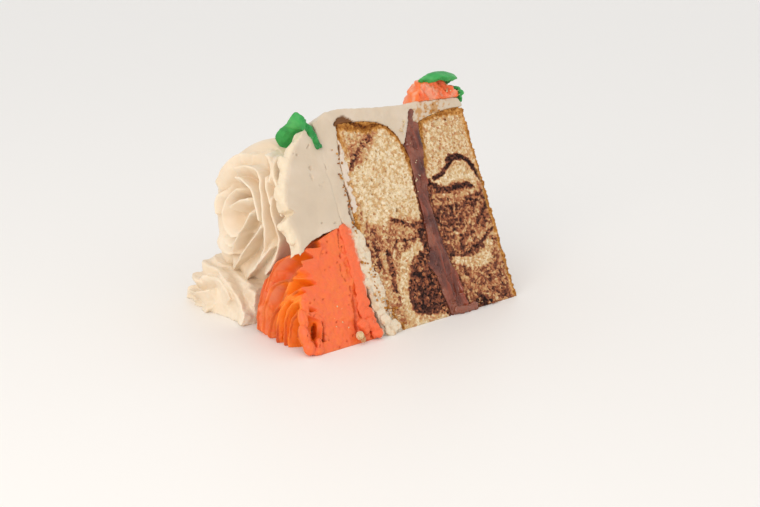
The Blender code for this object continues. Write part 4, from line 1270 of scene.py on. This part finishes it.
def footLeaf(name, look, angle, node):
    # draped down on both sides of its spine
    across = Vector((0, -math.sin(angle), math.cos(angle)))
    spine = [cakePoint(h, r, angle) for h, r in look["spine"]]
    grid = flatGrid(name, look["rows"], look["rows"] // 2)
    points = readPoints(grid)
    for i, (x, side, z) in enumerate(points):
        u = x / 2 + 0.5
        forward = (alongLine(spine, min(u + 0.02, 1)) - alongLine(spine, max(u - 0.02, 0))).normalized()
        face = across.cross(forward).normalized()
        taper = math.sin(math.pi * min(1.0, look["base"] + (0.96 - look["base"]) * u)) ** 0.8
        half = look["width"] / 2 * max(taper, 0.05)
        drape = look["cupped"] * half * 2 * side * side
        frill = look["frill"] * math.sin(look["waves"] * 7 * math.pi * u + 2.1 * side) * abs(side) ** 1.5
        vein = 0.4 * look["frill"] * math.exp(-((side / 0.15) ** 2))
        points[i] = alongLine(spine, u) + (across * (half * side) + face * (drape + frill + vein)) * mm
    writePoints(grid, points)
    leafFrom(grid, look, node)


def footLeaves():
    for number, degrees in enumerate(footAngles, 1):
        angle = math.radians(degrees)
        footLeaf(f"leafOverRosette{number}", footLeafLook, angle + overTurned, f"leaf_over_rosette_{number}")
        footLeaf(f"leafUnderRosette{number}", underLeafLook, angle, f"leaf_under_rosette_{number}")


topLeaf()
footLeaves()


# Floor, light and camera.

stageLook = {
    "floorColour": "#F4F1ED", "worldStrength": 0.9, "lit": (0, 0, 0.05),
    # each light's place, size and power, and its colour
    "lights": {
        "keyLight": ((-0.85, -0.38, 0.42), 0.5, 3.1, "#FFF4E8"),
        "fillLight": ((0.35, -0.95, 0.45), 0.9, 0.6, "#FFFAF4"),
    },
    "lens": 56.84, "sensor": 36, "eye": (-0.3790, -0.4416, 0.1972), "turn": (73.192, -1.318, -42.296),
}


def addFloor():
    bpy.ops.object.select_all(action="DESELECT")
    bpy.ops.mesh.primitive_plane_add(size=6, location=(0, 0, -0.01 * mm))
    floor = bpy.context.object
    floor.name = "floor"
    material, tree, shader, place = startMaterial("paleFloor", {"Roughness": 0.5})
    shader.inputs["Base Color"].default_value = linearColour(stageLook["floorColour"])
    floor.data.materials.append(material)


def addLights():
    for name, (place, size, power, hexCode) in stageLook["lights"].items():
        light = bpy.data.lights.new(name, "AREA")
        light.size, light.energy, light.color = size, power, linearColour(hexCode)[:3]
        lamp = bpy.data.objects.new(name, light)
        lamp.location = place
        lamp.rotation_euler = (Vector(stageLook["lit"]) - Vector(place)).to_track_quat("-Z", "Y").to_euler()
        bpy.context.scene.collection.objects.link(lamp)
    world = bpy.data.worlds.new("studio")
    world.use_nodes = True
    background = world.node_tree.nodes["Background"]
    background.inputs["Color"].default_value = linearColour("#FFFFFF")
    background.inputs["Strength"].default_value = stageLook["worldStrength"]
    bpy.context.scene.world = world


def addCamera():
    camera = bpy.data.cameras.new("camera")
    camera.lens, camera.sensor_width = stageLook["lens"], stageLook["sensor"]
    holder = bpy.data.objects.new("camera", camera)
    holder.location = stageLook["eye"]
    holder.rotation_euler = [math.radians(a) for a in stageLook["turn"]]
    bpy.context.scene.collection.objects.link(holder)
    bpy.context.scene.camera = holder


addFloor()
addLights()
addCamera()
bpy.context.scene.view_settings.view_transform = "Standard"
print("stage, lights and camera set")

bpy.context.view_layer.update()
